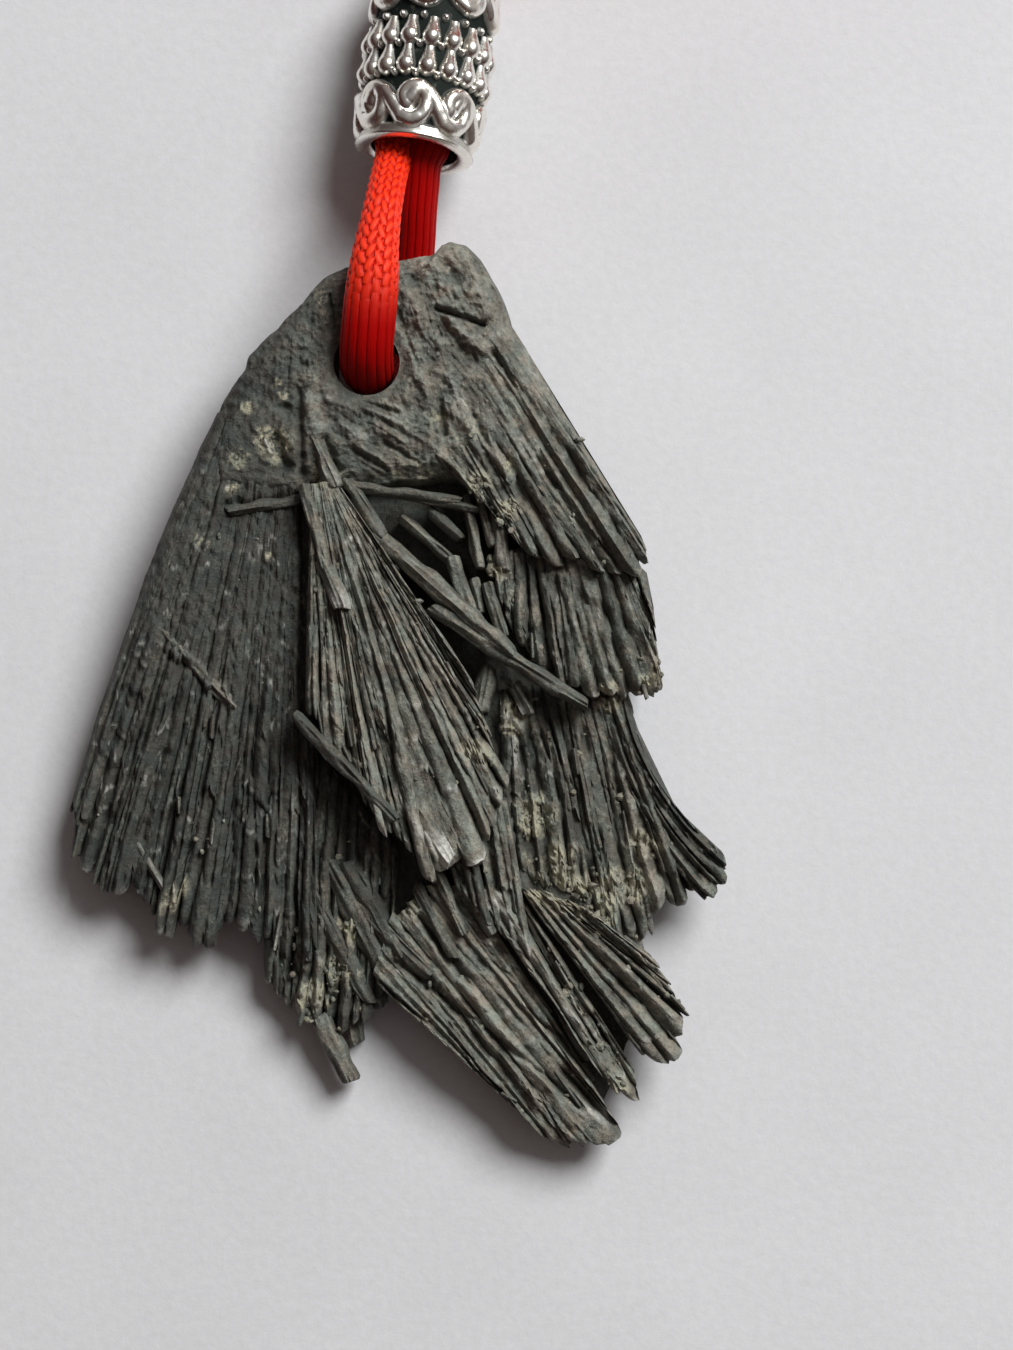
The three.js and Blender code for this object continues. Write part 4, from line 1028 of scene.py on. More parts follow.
# ------------------------------------------------------------------------------------------------ the cords
LOOP_POINTS = (
    in_bead(BEAD["length"] / 2 - 0.15, -CORD_SPREAD), in_bead(0.6, -CORD_SPREAD),
    (-0.4, 33, 5.7), (-0.65, 31.4, 6.9), (-0.85, 29.8, 8.1), (-1.05, 28.2, 8.9), (-1.3, 26.2, 9.4),
    (-1.5, 24, 9.5), (-1.7, 22, 9.3), (-1.85, 20.5, 8.4), (-1.85, 19.75, 6.8), (-1.8, 19.7, 5),
    (-1.75, 19.85, 3.3), (-1.5, 20.6, 1.9), (-1.1, 22, 1.3), (-0.2, 24.2, 1.2), (0.45, 26.2, 1.25),
    (0.75, 27.5, 1.75), (0.9, 28.9, 2.6), (1, 30.3, 3.5), (1.15, 31.7, 4.2), (1.35, 33.2, 4.7),
    in_bead(2, 0.95), in_bead(BEAD["length"] / 2 - 0.15, CORD_SPREAD),
)
LOOP_STEP, LOOP_SIDES = 0.13, 112
# Stretches of the loop, in millimetres from its start: where it thickens from one radius to the other,
# where it widens and narrows again round the hole, and where it is drawn tight, from the hole on and inside
# the bead, which is also where it is painted darker as shade. It is a little wider near both ends, where the
# bead holds it.
LOOP_THICKENS, LOOP_RADII = (8, 17), (1.15, 1.3)
LOOP_WIDENS, LOOP_NARROWS, LOOP_WIDER = (11, 18), (26, 22), 0.26
HOLE_DRAWN, BEAD_DRAWN = (14.5, 19), (5.6, 5.2)
LOOP_HELD, HELD_WIDER = (6.2, 5.2), 0.12
STRAND_STEP, STRAND_SIDES = 0.36, 48
LEFT_STRAND = ((1.1, 49.5, 2.6), (0.1, 54, 1.6), (-1.2, 58, 1.4), (-2.2, 61.5, 1.6))
RIGHT_STRAND = ((3.6, 49.5, 2.6), (2.9, 53.5, 1.6), (2, 56.6, 1.4))
# Bearings about the coil's middle, in degrees: where each strand joins it, where a turn ends and where they
# leave.
LEFT_JOINS, RIGHT_JOINS = 180, 195
TURN_ENDS, COIL_ENDS = 235, 225
COIL_TURNS = 3
KNOT_RADIUS, KNOT_SIDES, KNOT_STRETCH = 1.2, 30, (0.98, 0.86, 0.86)
TAIL_RADIUS, TAIL_SIDES, TAIL_STEP = 1.22, 20, 0.3
TIE_ANGLE = np.radians(20)


def curve_through(points, spacing):
    """Evenly spaced points on a smooth curve through a list of points: a Catmull-Rom cubic for each span."""
    p = np.asarray([tuple(q) for q in points], float)
    padded = np.concatenate([[2 * p[0] - p[1]], p, [2 * p[-1] - p[-2]]])
    t = np.linspace(0, 1, 24, endpoint=False)[None, :, None]
    a, b, c, d = (padded[k:len(p) - 1 + k, None, :] for k in range(4))
    spans = 0.5 * (2 * b + (c - a) * t + (2 * a - 5 * b + 4 * c - d) * t**2 + (3 * b - a - 3 * c + d) * t**3)
    dense = np.concatenate([spans.reshape(-1, 3), p[-1:]])
    length = np.linalg.norm(np.diff(dense, axis=0), axis=1).sum()
    return along(dense, np.linspace(0, 1, int(length / spacing) + 1)), length


def frames(path, reference):
    """Two directions across the path at each of its points: the reference direction with the part along the
    path taken out of it, and the one square to that and to the path."""
    reference = np.asarray(reference, float)
    ahead = np.gradient(path, axis=0)
    ahead /= np.linalg.norm(ahead, axis=1)[:, None]
    across = reference - ahead * (ahead @ reference)[:, None]
    across /= np.linalg.norm(across, axis=1)[:, None]
    return across, np.cross(ahead, across)


def braid_relief(u, v, columns, stitch, ribs):
    """Columns of stitches, each a plump link: across a column it is a rounded arch, along it each stitch
    swells in the middle and leans to one side or the other by turns, and every second column is half a
    stitch on. Where ribs is 1 the cord is drawn tight, and the columns are plain ribs."""
    column = np.floor(u * columns)
    x = u * columns - column - 0.5
    s = v / stitch + 0.5 * (column % 2)
    k = s - np.floor(s) - 0.5
    lean = 0.75 * k * np.where(column % 2 == 0, 1, -1) * (1 - ribs)
    arch = np.sqrt(np.clip(1 - (2 * np.clip(np.abs(x - lean), 0, 0.5)) ** 2, 0, 1))
    arch = mix(arch, 0.5 + 0.5 * arch, ribs)
    swell = mix(np.sqrt(np.clip(1 - (1.9 * k) ** 2, 0, 1)), 1, ribs)
    return arch * mix(0.3, 1, swell)


def cord_shape(path, radius, sides, settings, reference, widen=1.0, ribs=0.0):
    """A tube round a path. At each ring the radius is the same all round, plus the braid's relief, and widen
    stretches it along the reference direction. Where it lies on the floor it is flat beneath."""
    radius, widen, ribs = (np.reshape(value, (-1, 1)) for value in (radius, widen, ribs))
    across, third = (way[:, None] for way in frames(path, reference))
    reach = np.concatenate(([0], np.cumsum(np.linalg.norm(np.diff(path, axis=0), axis=1))))
    turn = np.linspace(0, 2 * np.pi, sides, endpoint=False)
    u, v = np.meshgrid(turn / (2 * np.pi), reach)
    braid = braid_relief(u, v, settings.stitch_columns, settings.stitch_length, ribs)
    r = radius + settings.stitch_depth * (braid - 1)
    aside, level = r * np.cos(turn) * widen, r * np.sin(turn)
    rings = path[:, None] + (aside[..., None] * across + level[..., None] * third)
    rings[..., 2] = np.maximum(rings[..., 2], 0.0)
    # The braid's relief is the groove value, which paints shade between the stitches; tone falls where ribs
    # rises, which paints shade on the cord in the hole, up the back and inside the bead.
    return loft(rings, groove=braid, tone=1 - ribs, u=u * settings.stitch_columns, v=v)


def coil_points(radius, first, turns):
    """A strand's way through the coil, clockwise: circles about its middle, and late in each turn a smooth
    rise of one cord diameter to the next layer. The last rise lifts it towards the knot."""
    bearing = np.linspace(first, COIL_ENDS - 360 * turns, 30 * turns)
    gone = (TURN_ENDS - bearing) / 360
    layer = np.floor(gone)
    rise = smooth(0.82, 1.0, gone - layer)
    z = COIL["low"] + CORD_DIAMETER / 2 + CORD_DIAMETER * (layer + rise)
    angle = np.radians(bearing)
    return np.column_stack([COIL["x"] + radius * np.cos(angle), COIL["y"] + radius * np.sin(angle), z])


def strand_points(side, free, first):
    """A free strand from the middle of the bead to the knot. The left one, with side -1, is outside in the
    coil."""
    inside = [in_bead(up, side * CORD_SPREAD) for up in (BEAD["length"] / 2 + 0.15, BEAD["length"] - 0.6)]
    coil = coil_points(COIL["radius"] - side * CORD_DIAMETER / 2, first, COIL_TURNS)
    knot = (KNOT["x"] + 0.8 + side * 0.9, KNOT["y"] - 2, KNOT["z"] - 0.3)
    return [*inside, *free, *coil, knot]


def knot_shape(settings):
    """A trefoil knot with a tube round it: x is sin t + 2 sin 2t, y is cos t - 2 cos 2t and z goes with
    -sin 3t."""
    t = np.linspace(0, 2 * np.pi, 180, endpoint=False)
    x, y = np.sin(t) + 2 * np.sin(2 * t), np.cos(t) - 2 * np.cos(2 * t)
    path = np.column_stack([x, y, -1.45 * np.sin(3 * t)]) * KNOT_STRETCH
    turn = np.array(Matrix.Rotation(KNOT["turn"], 3, "Z"))
    path = path @ turn.T + (KNOT["x"], KNOT["y"], KNOT["z"])
    closed = np.concatenate([path, path[:1]])
    return cord_shape(closed, KNOT_RADIUS, KNOT_SIDES, settings, (0, 0, 1))


def tail_shape(side, settings):
    """A short tail out of the knot, which droops onto the coil. Its radius falls away by a root near its end,
    which rounds it."""
    reach = np.array([0.5, 2, 3.8, 5.4, 6.8])
    drop = np.array([0.2, 0.4, -0.4, -1.6, -2.3])
    bearing = np.radians(100 + 35 * side)
    out = np.column_stack([reach * np.cos(bearing), reach * np.sin(bearing), drop])
    path, _ = curve_through(out + (KNOT["x"], KNOT["y"], KNOT["z"]), TAIL_STEP)
    radius = TAIL_RADIUS * smooth(-0.02, 0.06, 1.001 - np.linspace(0, 1, len(path))) ** 0.5
    return cord_shape(path, radius, TAIL_SIDES, settings, (0, 0, 1))


def tie_shape():
    """Thread wound round the coil's section: a helix on a rounded rectangle, five turns side by side."""
    turns, thread, gap, power, step = 5, 0.42, 0.3, 0.42, 0.22
    t = np.linspace(0, turns, turns * 72)[::3]
    wide = CORD_DIAMETER + gap + thread / 2
    tall = (COIL["high"] - COIL["low"]) / 2 + gap + thread / 2
    x, z = (half * np.sign(wave) * np.abs(wave) ** power
            for half, wave in ((wide, np.cos(2 * np.pi * t)), (tall, np.sin(2 * np.pi * t))))
    turn = np.array(Matrix.Rotation(TIE_ANGLE, 3, "Z"))
    level = (COIL["high"] + COIL["low"]) / 2
    path = np.column_stack([COIL["radius"] + x, (t - turns / 2) * thread, level + z]) @ turn.T
    path, _ = curve_through(path + (COIL["x"], COIL["y"], 0), step)
    across, third = frames(path, (-np.sin(TIE_ANGLE), np.cos(TIE_ANGLE), 0))
    around = np.linspace(0, 2 * np.pi, 10, endpoint=False)
    ring = np.cos(around)[None, :, None] * across[:, None] + np.sin(around)[None, :, None] * third[:, None]
    return loft(path[:, None] + ring * thread / 2, u=around, v=np.arange(len(path))[:, None] * step)


# ------------------------------------------------------------------------------------------- material nodes
class Nodes:
    """Short calls for building a node tree: add a node with its inputs, which are values or other nodes'
    sockets."""

    def __init__(self, tree):
        self.tree = tree

    def add(self, kind, inputs=(), **settings):
        node = self.tree.nodes.new(kind)
        for key, value in settings.items():
            setattr(node, key, value)
        for key, value in dict(inputs).items():
            if isinstance(value, bpy.types.NodeSocket):
                self.tree.links.new(value, node.inputs[key])
            else:
                node.inputs[key].default_value = value
        return node

    def math(self, operation, a, b=0.0, clamp=False):
        return self.add("ShaderNodeMath", {0: a, 1: b}, operation=operation, use_clamp=clamp).outputs[0]

    def plus(self, a, b, share, clamp=False):
        """The value a, with a share of b added."""
        return self.math("ADD", a, self.math("MULTIPLY", b, share), clamp)

    def ramp(self, value, low, high, to_low=0.0, to_high=1.0):
        """The value taken from one range to another, and held within it."""
        return self.add("ShaderNodeMapRange", {
            "Value": value, "From Min": low, "From Max": high, "To Min": to_low, "To Max": to_high,
        }).outputs["Result"]

    def blend(self, factor, a, b, kind="MIX"):
        """Colour a where the factor is 0, and where it is 1 colour b or, for another kind, a combined with
        b."""
        a, b = (c if isinstance(c, bpy.types.NodeSocket) else (*c, 1.0) for c in (a, b))
        node = self.add("ShaderNodeMix", {0: factor, 6: a, 7: b}, data_type="RGBA", blend_type=kind)
        return node.outputs[2]

    def noise(self, vector, scale, detail=3.0, roughness=0.6):
        return self.add("ShaderNodeTexNoise", {
            "Vector": vector, "Scale": scale, "Detail": detail, "Roughness": roughness,
        }).outputs["Fac"]

    def attribute(self, name):
        return self.add("ShaderNodeAttribute", attribute_name=name, attribute_type="GEOMETRY").outputs["Fac"]

    def stretched(self, vector, scale):
        return self.add("ShaderNodeMapping", {"Vector": vector, "Scale": scale}).outputs["Vector"]


def node_group(name, numbers, outputs, fill):
    """A shader node group that takes a vector and some numbers and gives what fill makes of them. It is
    made when it is first asked for."""
    if name in bpy.data.node_groups:
        return bpy.data.node_groups[name]
    tree = bpy.data.node_groups.new(name, "ShaderNodeTree")
    tree.interface.new_socket("Vector", in_out="INPUT", socket_type="NodeSocketVector")
    for socket, default in numbers.items():
        number = tree.interface.new_socket(socket, in_out="INPUT", socket_type="NodeSocketFloat")
        number.default_value = default
    for socket in outputs:
        tree.interface.new_socket(socket, in_out="OUTPUT", socket_type="NodeSocketFloat")
    nodes = Nodes(tree)
    made = fill(nodes, nodes.add("NodeGroupInput").outputs)
    nodes.add("NodeGroupOutput", dict(zip(outputs, made)))
    return tree


def fine_grain():
    """A group that mottles a surface: coarse patches and fine grains of noise as one mask, and a height."""

    def fill(nodes, given):
        patch = nodes.noise(given["Vector"], given["Patch Scale"], 2.0)
        fine = nodes.noise(given["Vector"], given["Grain Scale"], 4.0, 0.7)
        both = {"Factor": given["Share"], "A": patch, "B": fine}
        return nodes.add("ShaderNodeMix", both, data_type="FLOAT").outputs[0], fine

    numbers = {"Patch Scale": 300.0, "Grain Scale": 2500.0, "Share": 0.5}
    return node_group("Fine grain", numbers, ("Mask", "Height"), fill)


def recess_shade_and_tarnish():
    """A group that says how deep in a recess a point is: the groove attribute, roughened by noise. It sets
    the painted shade on the stone and the tarnish in the silver's recesses.
    """

    def fill(nodes, given):
        uneven = nodes.math("SUBTRACT", nodes.noise(given["Vector"], given["Scale"]), 0.5)
        groove = nodes.plus(nodes.attribute("groove"), uneven, given["Uneven"])
        return (nodes.ramp(groove, given["Low"], given["High"]),)

    numbers = {"Scale": 1500.0, "Uneven": 0.3, "Low": 0.2, "High": 0.9}
    return node_group("Dark recess", numbers, ("Raised",), fill)


def new_material(name):
    """A node material with its Principled shader, its nodes helper and its object and UV coordinates."""
    material = bpy.data.materials.new(name)
    material.use_nodes = True
    nodes = Nodes(material.node_tree)
    shader = material.node_tree.nodes["Principled BSDF"]
    where = nodes.add("ShaderNodeTexCoord").outputs
    return material, nodes, shader, where["Object"], where["UV"]


def bump(nodes, shader, height, strength, distance):
    node = nodes.add("ShaderNodeBump", {"Strength": strength, "Distance": distance, "Height": height})
    nodes.tree.links.new(node.outputs["Normal"], shader.inputs["Normal"])


def kyanite_material(settings):
    """Black kyanite: near black in the grooves, charcoal on the flats and grey on the ridges, with fine
    fibres along the blades, pale broken edges and specks of olive matrix. The colour is darkened by up to
    half where the groove value is low, which is painted shade."""
    material, nodes, shader, place, uv = new_material("Black kyanite")
    link = nodes.tree.links.new
    recess = nodes.add("ShaderNodeGroup", {
        "Vector": place, "Scale": 1400, "Uneven": 0.55, "Low": 0.1, "High": 1.0,
    }, node_tree=recess_shade_and_tarnish())
    speckle = nodes.add("ShaderNodeGroup", {
        "Vector": place, "Patch Scale": 900, "Grain Scale": 3600, "Share": 0.65,
    }, node_tree=fine_grain())
    raised, mask = recess.outputs["Raised"], speckle.outputs["Mask"]
    fibres = nodes.noise(nodes.stretched(uv, (2.8, 0.5, 1)), 1.0, 5.0, 0.65)
    threads = nodes.noise(nodes.stretched(uv, (8, 2, 1)), 1.0, 3.0, 0.6)
    grit = nodes.noise(place, 9000.0, 2.0, 0.6)
    light = nodes.math("MULTIPLY", nodes.ramp(fibres, 0.3, 0.72), 0.14)
    light = nodes.plus(light, nodes.ramp(threads, 0.35, 0.75), 0.1)
    light = nodes.plus(light, nodes.ramp(grit, 0.3, 0.7), 0.24)
    light = nodes.plus(light, nodes.ramp(mask, 0.38, 0.62), 0.46)
    light = nodes.plus(light, nodes.math("SUBTRACT", nodes.attribute("tone"), 0.45), 0.7)
    # Painted shade: the colour is darkened where the groove value is low.
    light = nodes.math("MULTIPLY", light, nodes.ramp(raised, 0.0, 1.0, 0.5, 1.0), clamp=True)
    base = nodes.blend(nodes.ramp(light, 0.0, 0.38), settings.groove_shade_colour, settings.flat_colour)
    base = nodes.blend(nodes.ramp(light, 0.38, 0.95), base, settings.ridge_colour)
    warm = nodes.ramp(nodes.noise(place, 800.0, 3.0, 0.6), 0.4, 0.6)
    tint = nodes.blend(warm, settings.green_tint, settings.brown_tint)
    base = nodes.blend(1.0, base, tint, "MULTIPLY")
    matrix = nodes.math("MULTIPLY", nodes.attribute("matrix"), nodes.ramp(mask, 0.42, 0.56))
    yellow = nodes.blend(nodes.ramp(grit, 0.45, 0.7), settings.olive_colour, settings.speck_colour)
    base = nodes.blend(matrix, base, yellow)
    pale = nodes.math("MULTIPLY", nodes.attribute("pale"), nodes.ramp(mask, 0.3, 0.6, 0.3, 1.3))
    base = nodes.blend(nodes.math("MINIMUM", pale, 1.0), base, settings.pale_colour)
    link(base, shader.inputs["Base Color"])
    link(nodes.ramp(fibres, 0.3, 0.7, 0.85, 0.58), shader.inputs["Roughness"])
    height = nodes.plus(nodes.math("MULTIPLY", fibres, 0.25), grit, 0.25)
    bump(nodes, shader, nodes.plus(height, speckle.outputs["Height"], 0.8), 0.8, 0.00026)
    return material


def silver_material(settings):
    """Oxidised silver: bright where it stands proud, and blackened in the recesses, with a fine uneven
    polish."""
    material, nodes, shader, place, _ = new_material("Oxidised silver")
    link = nodes.tree.links.new
    recess = nodes.add("ShaderNodeGroup", {
        "Vector": place, "Scale": 1800, "Uneven": 0.25, "Low": 0.02, "High": 0.55,
    }, node_tree=recess_shade_and_tarnish())
    polish = nodes.add("ShaderNodeGroup", {
        "Vector": place, "Patch Scale": 500, "Grain Scale": 2600, "Share": 0.4,
    }, node_tree=fine_grain())
    raised, mask = recess.outputs["Raised"], polish.outputs["Mask"]
    silver = nodes.blend(nodes.ramp(mask, 0.35, 0.65), settings.silver_colour, settings.warm_colour)
    link(nodes.blend(raised, settings.tarnish_colour, silver), shader.inputs["Base Color"])
    rough = nodes.math("ADD", nodes.ramp(raised, 0, 1, 0.6, 0.2), nodes.ramp(mask, 0.3, 0.7, 0.0, 0.12))
    link(rough, shader.inputs["Roughness"])
    link(nodes.ramp(raised, 0.0, 0.4, 0.1, 1.0), shader.inputs["Metallic"])
    shader.inputs["Specular IOR Level"].default_value = 0.12
    bump(nodes, shader, polish.outputs["Height"], 0.2, 0.00008)
    return material


def satin_material(settings):
    """Braided satin: bright red where the stitches swell and deep red between them, which is painted shade,
    with fine threads along each stitch. Where the tone attribute is 0 the cord is drawn tight, and is less
    glossy and painted darker as shade."""
    material, nodes, shader, place, uv = new_material("Red satin cord")
    link = nodes.tree.links.new
    groove, tone = nodes.attribute("groove"), nodes.attribute("tone")
    mottle = nodes.add("ShaderNodeGroup", {
        "Vector": place, "Patch Scale": 350, "Grain Scale": 1500, "Share": 0.5,
    }, node_tree=fine_grain())
    threads = nodes.noise(nodes.stretched(uv, (7, 1.3, 1)), 1.0, 3.0, 0.6)
    uneven = nodes.math("SUBTRACT", mottle.outputs["Mask"], 0.5)
    shine = nodes.plus(nodes.ramp(groove, 0.15, 1.0), uneven, 0.5)
    shine = nodes.plus(shine, nodes.math("SUBTRACT", threads, 0.5), 0.5, clamp=True)
    base = nodes.blend(shine, settings.stitch_shade_colour, settings.cord_colour)
    # Painted shade on the cord in the hole, up the back and inside the bead.
    drawn = nodes.blend(tone, settings.shaded_cord_tint, (1, 1, 1))
    link(nodes.blend(1.0, base, drawn, "MULTIPLY"), shader.inputs["Base Color"])
    link(nodes.ramp(threads, 0.3, 0.7, 0.36, 0.6), shader.inputs["Roughness"])
    link(nodes.ramp(tone, 0, 1, 0.06, 0.25), shader.inputs["Specular IOR Level"])
    shader.inputs["Sheen Weight"].default_value = 0.02
    shader.inputs["Sheen Roughness"].default_value = 0.4
    shader.inputs["Sheen Tint"].default_value = (1.0, 0.35, 0.2, 1.0)
    bump(nodes, shader, nodes.plus(threads, groove, 0.5), 0.5, 0.00008)
    return material


def paper_material(settings):
    """Pale paper: one tone with faint grain and very soft mottling."""
    material, nodes, shader, place, _ = new_material("Pale paper")
    link = nodes.tree.links.new
    mottle = nodes.add("ShaderNodeGroup", {
        "Vector": place, "Patch Scale": 60, "Grain Scale": 1600, "Share": 0.6,
    }, node_tree=fine_grain())
    mask = mottle.outputs["Mask"]
    shade = [0.9 * c for c in settings.paper_colour]
    link(nodes.blend(nodes.ramp(mask, 0.35, 0.65), shade, settings.paper_colour), shader.inputs["Base Color"])
    link(nodes.ramp(mask, 0.3, 0.7, 0.75, 0.9), shader.inputs["Roughness"])
    bump(nodes, shader, mottle.outputs["Height"], 0.25, 0.0001)
    return material


# ------------------------------------------------------------------------------------------------- settings
def colour_setting(name, description, default):
    return FloatVectorProperty(
        name=name, description=description, default=default, subtype="COLOR", min=0, max=1)


def number_setting(name, description, default, low, high, unit="NONE"):
    return FloatProperty(name=name, description=description, default=default, min=low, max=high, unit=unit)


def count_setting(name, description, default, low, high):
    return IntProperty(name=name, description=description, default=default, min=low, max=high)


class KyaniteSettings(bpy.types.PropertyGroup):
    column_spacing: number_setting("Column spacing", "Distance between lines along a spray, mm", 0.1, 0.05, 1)
    row_spacing: number_setting("Row spacing", "Distance between points along a spray, mm", 0.22, 0.1, 2)
    groove_depth: number_setting("Groove depth", "Height of the fibres as a share of their width", 0.5, 0, 1)
    stem_relief: number_setting("Stem relief", "Height of the stem's fibres and lumps, mm", 0.5, 0, 1)
    chips: number_setting("Splinters", "Loose splinters for each blade", 0.7, 0, 10)
    crumbs: count_setting("Crumbs", "Crumbs of matrix tried on each spray", 700, 1, 4000)
    ridge_colour: colour_setting("Ridges", "Colour of the worn ridges", (0.29, 0.277, 0.244))
    flat_colour: colour_setting("Flats", "Colour of the blades' sides", (0.101, 0.099, 0.087))
    # Painted shade: the colour deep between the blades.
    groove_shade_colour: colour_setting("Grooves", "Colour deep between the blades", (0.045, 0.046, 0.042))
    pale_colour: colour_setting("Broken ends", "Colour of fresh breaks", (0.6, 0.59, 0.54))
    olive_colour: colour_setting("Matrix", "Colour of the grainy matrix", (0.34, 0.322, 0.23))
    speck_colour: colour_setting("Specks", "Colour of the yellow specks", (0.46, 0.42, 0.3))
    green_tint: colour_setting("Green tint", "Tint of the greener patches", (0.9, 1.0, 0.96))
    brown_tint: colour_setting("Brown tint", "Tint of the browner patches", (1.0, 0.92, 0.83))


class BeadSettings(bpy.types.PropertyGroup):
    bead_relief: number_setting("Relief", "Height of the drops and scrolls, mm", 0.68, 0, 1)
    drop_width: number_setting("Drop width", "Width of each drop, mm", 1.38, 0.2, 1.5)
    lip_round: number_setting("Lip rounding", "Reach of the rounded lip at each end, mm", 0.35, 0.1, 1)
    silver_colour: colour_setting("Silver", "Colour of the bright silver", (0.96, 0.95, 0.92))
    warm_colour: colour_setting("Warm silver", "Colour of the warmer patches", (0.86, 0.81, 0.71))
    tarnish_colour: colour_setting("Tarnish", "Colour of the blackened recesses", (0.008, 0.012, 0.01))


class CordSettings(bpy.types.PropertyGroup):
    stitch_columns: count_setting("Stitch columns", "Columns of stitches round the cord", 16, 4, 20)
    stitch_length: number_setting("Stitch length", "Length of one stitch, mm", 0.8, 0.3, 4)
    stitch_depth: number_setting("Stitch depth", "Depth between stitches, mm", 0.12, 0, 0.5)
    cord_colour: colour_setting("Cord", "Colour where the stitches swell", (1.0, 0.04, 0.004))
    # Painted shade: the colour between the stitches.
    stitch_shade_colour: colour_setting("Deep cord", "Colour between the stitches", (0.55, 0.006, 0.001))
    # Painted shade on the cord in the hole, up the back and inside the bead.
    shaded_cord_tint: colour_setting("Drawn cord", "Tint of the cord where it is drawn tight", (0.36, 0.05, 0.4))


class StageSettings(bpy.types.PropertyGroup):
    paper_colour: colour_setting("Paper", "Colour of the floor", (0.635, 0.63, 0.645))
    key_power: number_setting("Key light", "Power of the large soft light", 10.3, 0, 100, "POWER")
    sky: number_setting("Sky", "Strength of the even light all round", 0.27, 0, 5)
    low_sky: colour_setting("Low sky", "Colour of the sky near the floor, on the left", (0.16, 0.06, 0.05))
    high_sky: colour_setting("High sky", "Colour of the sky overhead and on the right", (1.0, 0.95, 0.92))


# ------------------------------------------------------------------------------------------------ operators
VIEW_CENTRE = Vector((6.58, -8.035, 5.0)) * MM
VIEW_ELEVATION = np.radians(83)
VIEW_DISTANCE = 220 * MM
VIEW_LENS = 97.0
KEY_PLACE = Vector((0.42, 0.4, 0.68))
KEY_SIZE = 0.5
FLOOR_HALF = 1.5


class KYANITE_OT_camera(bpy.types.Operator):
    """Adds the camera, almost straight above the fan."""

    bl_idname = "kyanite.camera"
    bl_label = "Camera"

    def execute(self, context):
        data = bpy.data.cameras.new("Camera")
        data.lens = VIEW_LENS
        data.sensor_width = 36
        data.clip_start, data.clip_end = 0.01, 20
        camera = put("Camera", data)
        away = Vector((0, -np.cos(VIEW_ELEVATION), np.sin(VIEW_ELEVATION)))
        camera.location = VIEW_CENTRE + away * VIEW_DISTANCE
        camera.rotation_euler = (-away).to_track_quat("-Z", "Y").to_euler()
        context.scene.camera = camera
        context.scene.view_settings.view_transform = "Standard"
        return {"FINISHED"}


def cord_piece(name, shape, replaces):
    return piece(name, shape, bpy.data.materials["Red satin cord"], replaces)


class KYANITE_OT_cords(bpy.types.Operator):
    """Adds both strands of the cord, from the bead through the coil to the knot, with the knot and its
    tails."""

    bl_idname = "kyanite.cords"
    bl_label = "Cord strands and knot"

    def execute(self, context):
        settings = context.scene.kyanite_cord
        satin_material(settings)
        tails = [tail_shape(side, settings) for side in (-1, 1)]
        knot = cord_piece("knot", join([knot_shape(settings), *tails]), ("cord_knot",))
        strands = (
            ("strand_left", -1, LEFT_STRAND, LEFT_JOINS, ("cord_left", "cord_coil")),
            ("strand_right", 1, RIGHT_STRAND, RIGHT_JOINS, ("cord_right", "cord_coil")),
        )
        for name, side, free, first, replaces in strands:
            path, length = curve_through(strand_points(side, free, first), STRAND_STEP)
            shape = cord_shape(path, CORD_DIAMETER / 2, STRAND_SIDES, settings, (0, 0, 1))
            strand = cord_piece(name, shape, replaces)
        return {"FINISHED"}


class KYANITE_OT_loop(bpy.types.Operator):
    """Adds the doubled cord that goes through the stem's hole and up into the bead."""

    bl_idname = "kyanite.loop"
    bl_label = "Cord loop"

    def execute(self, context):
        settings = context.scene.kyanite_cord
        path, length = curve_through(LOOP_POINTS, LOOP_STEP)
        at = np.linspace(0, length, len(path))
        radius = mix(*LOOP_RADII, smooth(*LOOP_THICKENS, at))
        held = smooth(*LOOP_HELD, at) + smooth(length - LOOP_HELD[0], length - LOOP_HELD[1], at)
        widen = 1 + LOOP_WIDER * smooth(*LOOP_WIDENS, at) * smooth(*LOOP_NARROWS, at) + HELD_WIDER * held
        ribs = np.maximum(smooth(*HOLE_DRAWN, at), smooth(*BEAD_DRAWN, at))
        shape = cord_shape(path, radius, LOOP_SIDES, settings, (1, 0, 0), widen, ribs)
        cord_piece("loop", shape, ("cord_loop",))
        return {"FINISHED"}


class KYANITE_OT_fan(bpy.types.Operator):
    """Adds the kyanite fan with its stem, blades, chips and crumbs."""

    bl_idname = "kyanite.fan"
    bl_label = "Kyanite fan"

    def execute(self, context):
        settings = context.scene.kyanite_stone
        material = kyanite_material(settings)
        sprays = {"left_sprays": [], "right_sprays": [], "back_sprays": []}
        for spray in SPRAYS:
            group = "left_sprays" if spray["name"] in LEFT_SPRAYS else "right_sprays"
            sprays["back_sprays" if spray["side"] < 0 else group].append(spray_shape(spray, settings))
        shapes = {
            "stem": join([stem_shape(settings), core_shape()]),
            **{name: join(parts) for name, parts in sprays.items()},
            "loose_blades": debris_shape(settings),
        }
        for name, shape in shapes.items():
            obj = piece(name, tip_over(shape), material, ("fan",))
            obj.data.shade_smooth()
            obj.data.set_sharp_from_angle(angle=SHARP)
        return {"FINISHED"}


class KYANITE_OT_bead(bpy.types.Operator):
    """Adds the silver barrel bead with its drops and scrolls."""

    bl_idname = "kyanite.bead"
    bl_label = "Silver bead"

    def execute(self, context):
        settings = context.scene.kyanite_bead
        obj = piece("barrel_bead", bead_shape(settings), silver_material(settings), ("bead",))
        obj.data.shade_smooth()
        return {"FINISHED"}


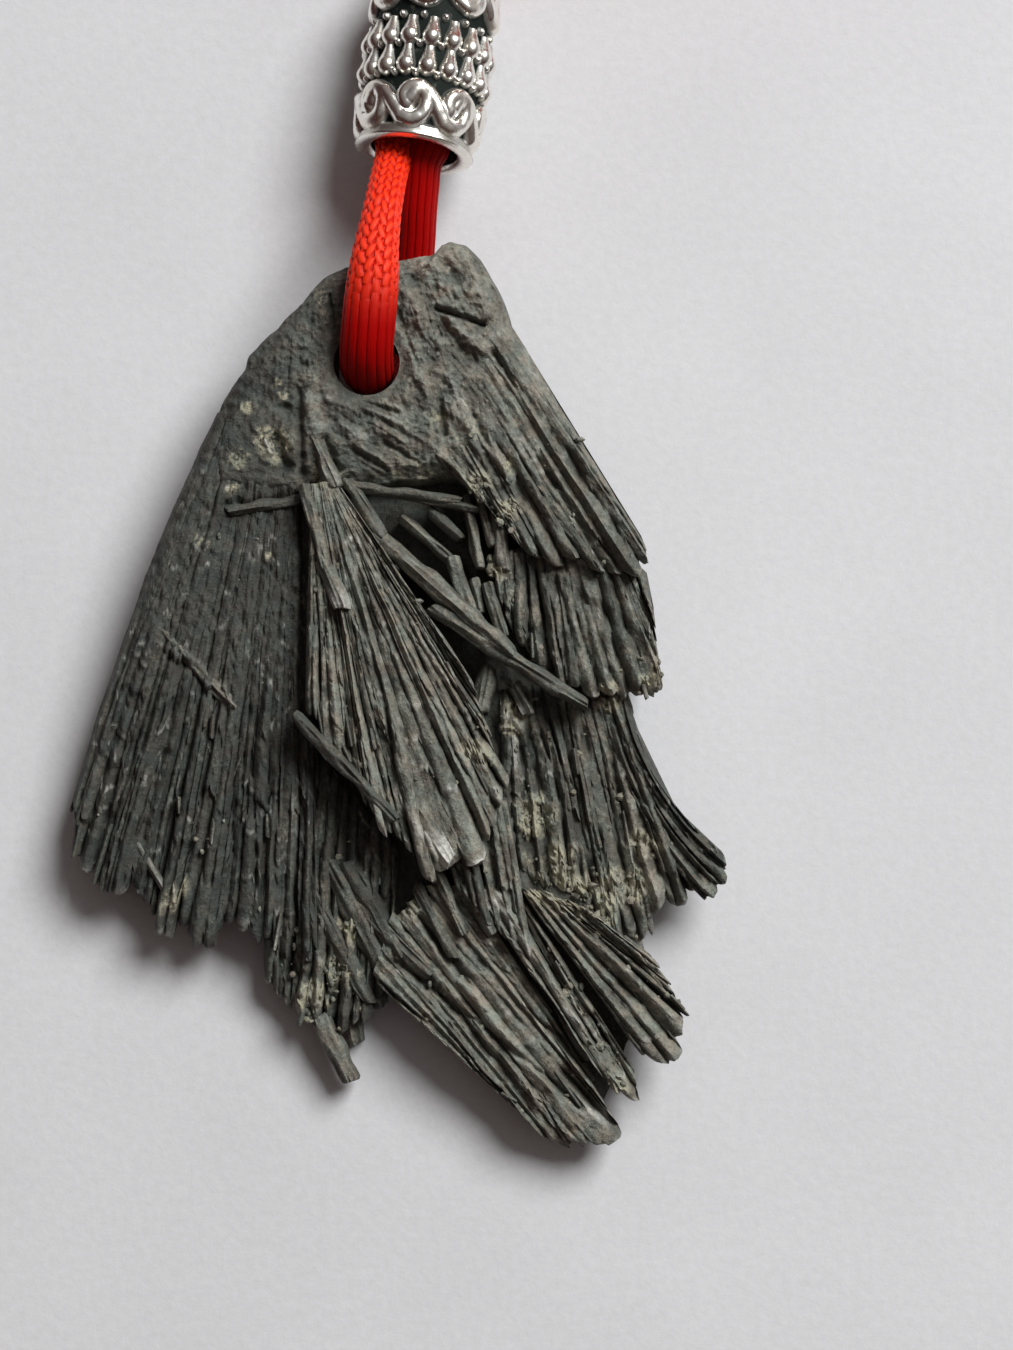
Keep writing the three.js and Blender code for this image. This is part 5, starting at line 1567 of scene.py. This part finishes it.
class KYANITE_OT_tie(bpy.types.Operator):
    """Adds the thread that ties the coil."""

    bl_idname = "kyanite.tie"
    bl_label = "Coil tie"

    def execute(self, context):
        piece("tie_thread", tie_shape(), bpy.data.materials["Red satin cord"], ("coil_tie",))
        return {"FINISHED"}


class KYANITE_OT_stage(bpy.types.Operator):
    """Adds the paper floor, the large light and a sky that is brighter overhead and on the right."""

    bl_idname = "kyanite.stage"
    bl_label = "Stage"

    def execute(self, context):
        settings = context.scene.kyanite_stage
        mesh = bpy.data.meshes.new("paper")
        corners = [(x * FLOOR_HALF, y * FLOOR_HALF, 0) for x, y in ((-1, -1), (1, -1), (1, 1), (-1, 1))]
        mesh.from_pydata(corners, [], [(0, 1, 2, 3)])
        mesh.materials.append(paper_material(settings))
        put("paper", mesh)

        world = bpy.data.worlds.new("Soft room")
        context.scene.world = world
        world.use_nodes = True
        background = world.node_tree.nodes["Background"]
        sky = Nodes(world.node_tree)
        way = sky.add("ShaderNodeSeparateXYZ", {0: sky.add("ShaderNodeTexCoord").outputs["Generated"]})
        right = sky.math("MULTIPLY", sky.math("ADD", way.outputs["X"], way.outputs["Y"]), 0.5)
        height = sky.ramp(sky.math("ADD", way.outputs["Z"], right), 0.2, 1.15)
        shade = sky.blend(height, settings.low_sky, settings.high_sky)
        world.node_tree.links.new(shade, background.inputs["Color"])
        background.inputs["Strength"].default_value = settings.sky

        light = bpy.data.lights.new("Key light", "AREA")
        light.shape = "DISK"
        light.size = KEY_SIZE
        light.energy = settings.key_power
        light.color = (0.98, 1.0, 1.0)
        lamp = put("Key light", light)
        lamp.location = KEY_PLACE
        lamp.rotation_euler = (-KEY_PLACE).to_track_quat("-Z", "Y").to_euler()
        return {"FINISHED"}


class KYANITE_PT_panel(bpy.types.Panel):
    """Lists the pieces."""

    bl_idname = "KYANITE_PT_panel"
    bl_label = "Kyanite Fan"
    bl_space_type = "VIEW_3D"
    bl_region_type = "UI"
    bl_category = "Kyanite Fan"

    def draw(self, context):
        for operator in OPERATORS:
            self.layout.operator(operator.bl_idname)
        for name in SETTINGS:
            group = getattr(context.scene, name)
            for key in group.bl_rna.properties.keys():
                if key not in ("rna_type", "name"):
                    self.layout.prop(group, key)


OPERATORS = (
    KYANITE_OT_camera, KYANITE_OT_cords, KYANITE_OT_loop, KYANITE_OT_fan, KYANITE_OT_bead, KYANITE_OT_tie,
    KYANITE_OT_stage,
)
SETTINGS = {
    "kyanite_stone": KyaniteSettings,
    "kyanite_bead": BeadSettings,
    "kyanite_cord": CordSettings,
    "kyanite_stage": StageSettings,
}


def register():
    for cls in (*SETTINGS.values(), *OPERATORS, KYANITE_PT_panel):
        bpy.utils.register_class(cls)
    for name, cls in SETTINGS.items():
        setattr(bpy.types.Scene, name, PointerProperty(type=cls))


def unregister():
    for name in SETTINGS:
        delattr(bpy.types.Scene, name)
    for cls in (KYANITE_PT_panel, *OPERATORS[::-1], *reversed(SETTINGS.values())):
        bpy.utils.unregister_class(cls)


def main():
    register()
    bpy.ops.kyanite.camera()
    bpy.ops.kyanite.cords()
    bpy.ops.kyanite.loop()
    bpy.ops.kyanite.fan()
    bpy.ops.kyanite.bead()
    bpy.ops.kyanite.tie()
    bpy.ops.kyanite.stage()


if __name__ == "__main__":
    main()
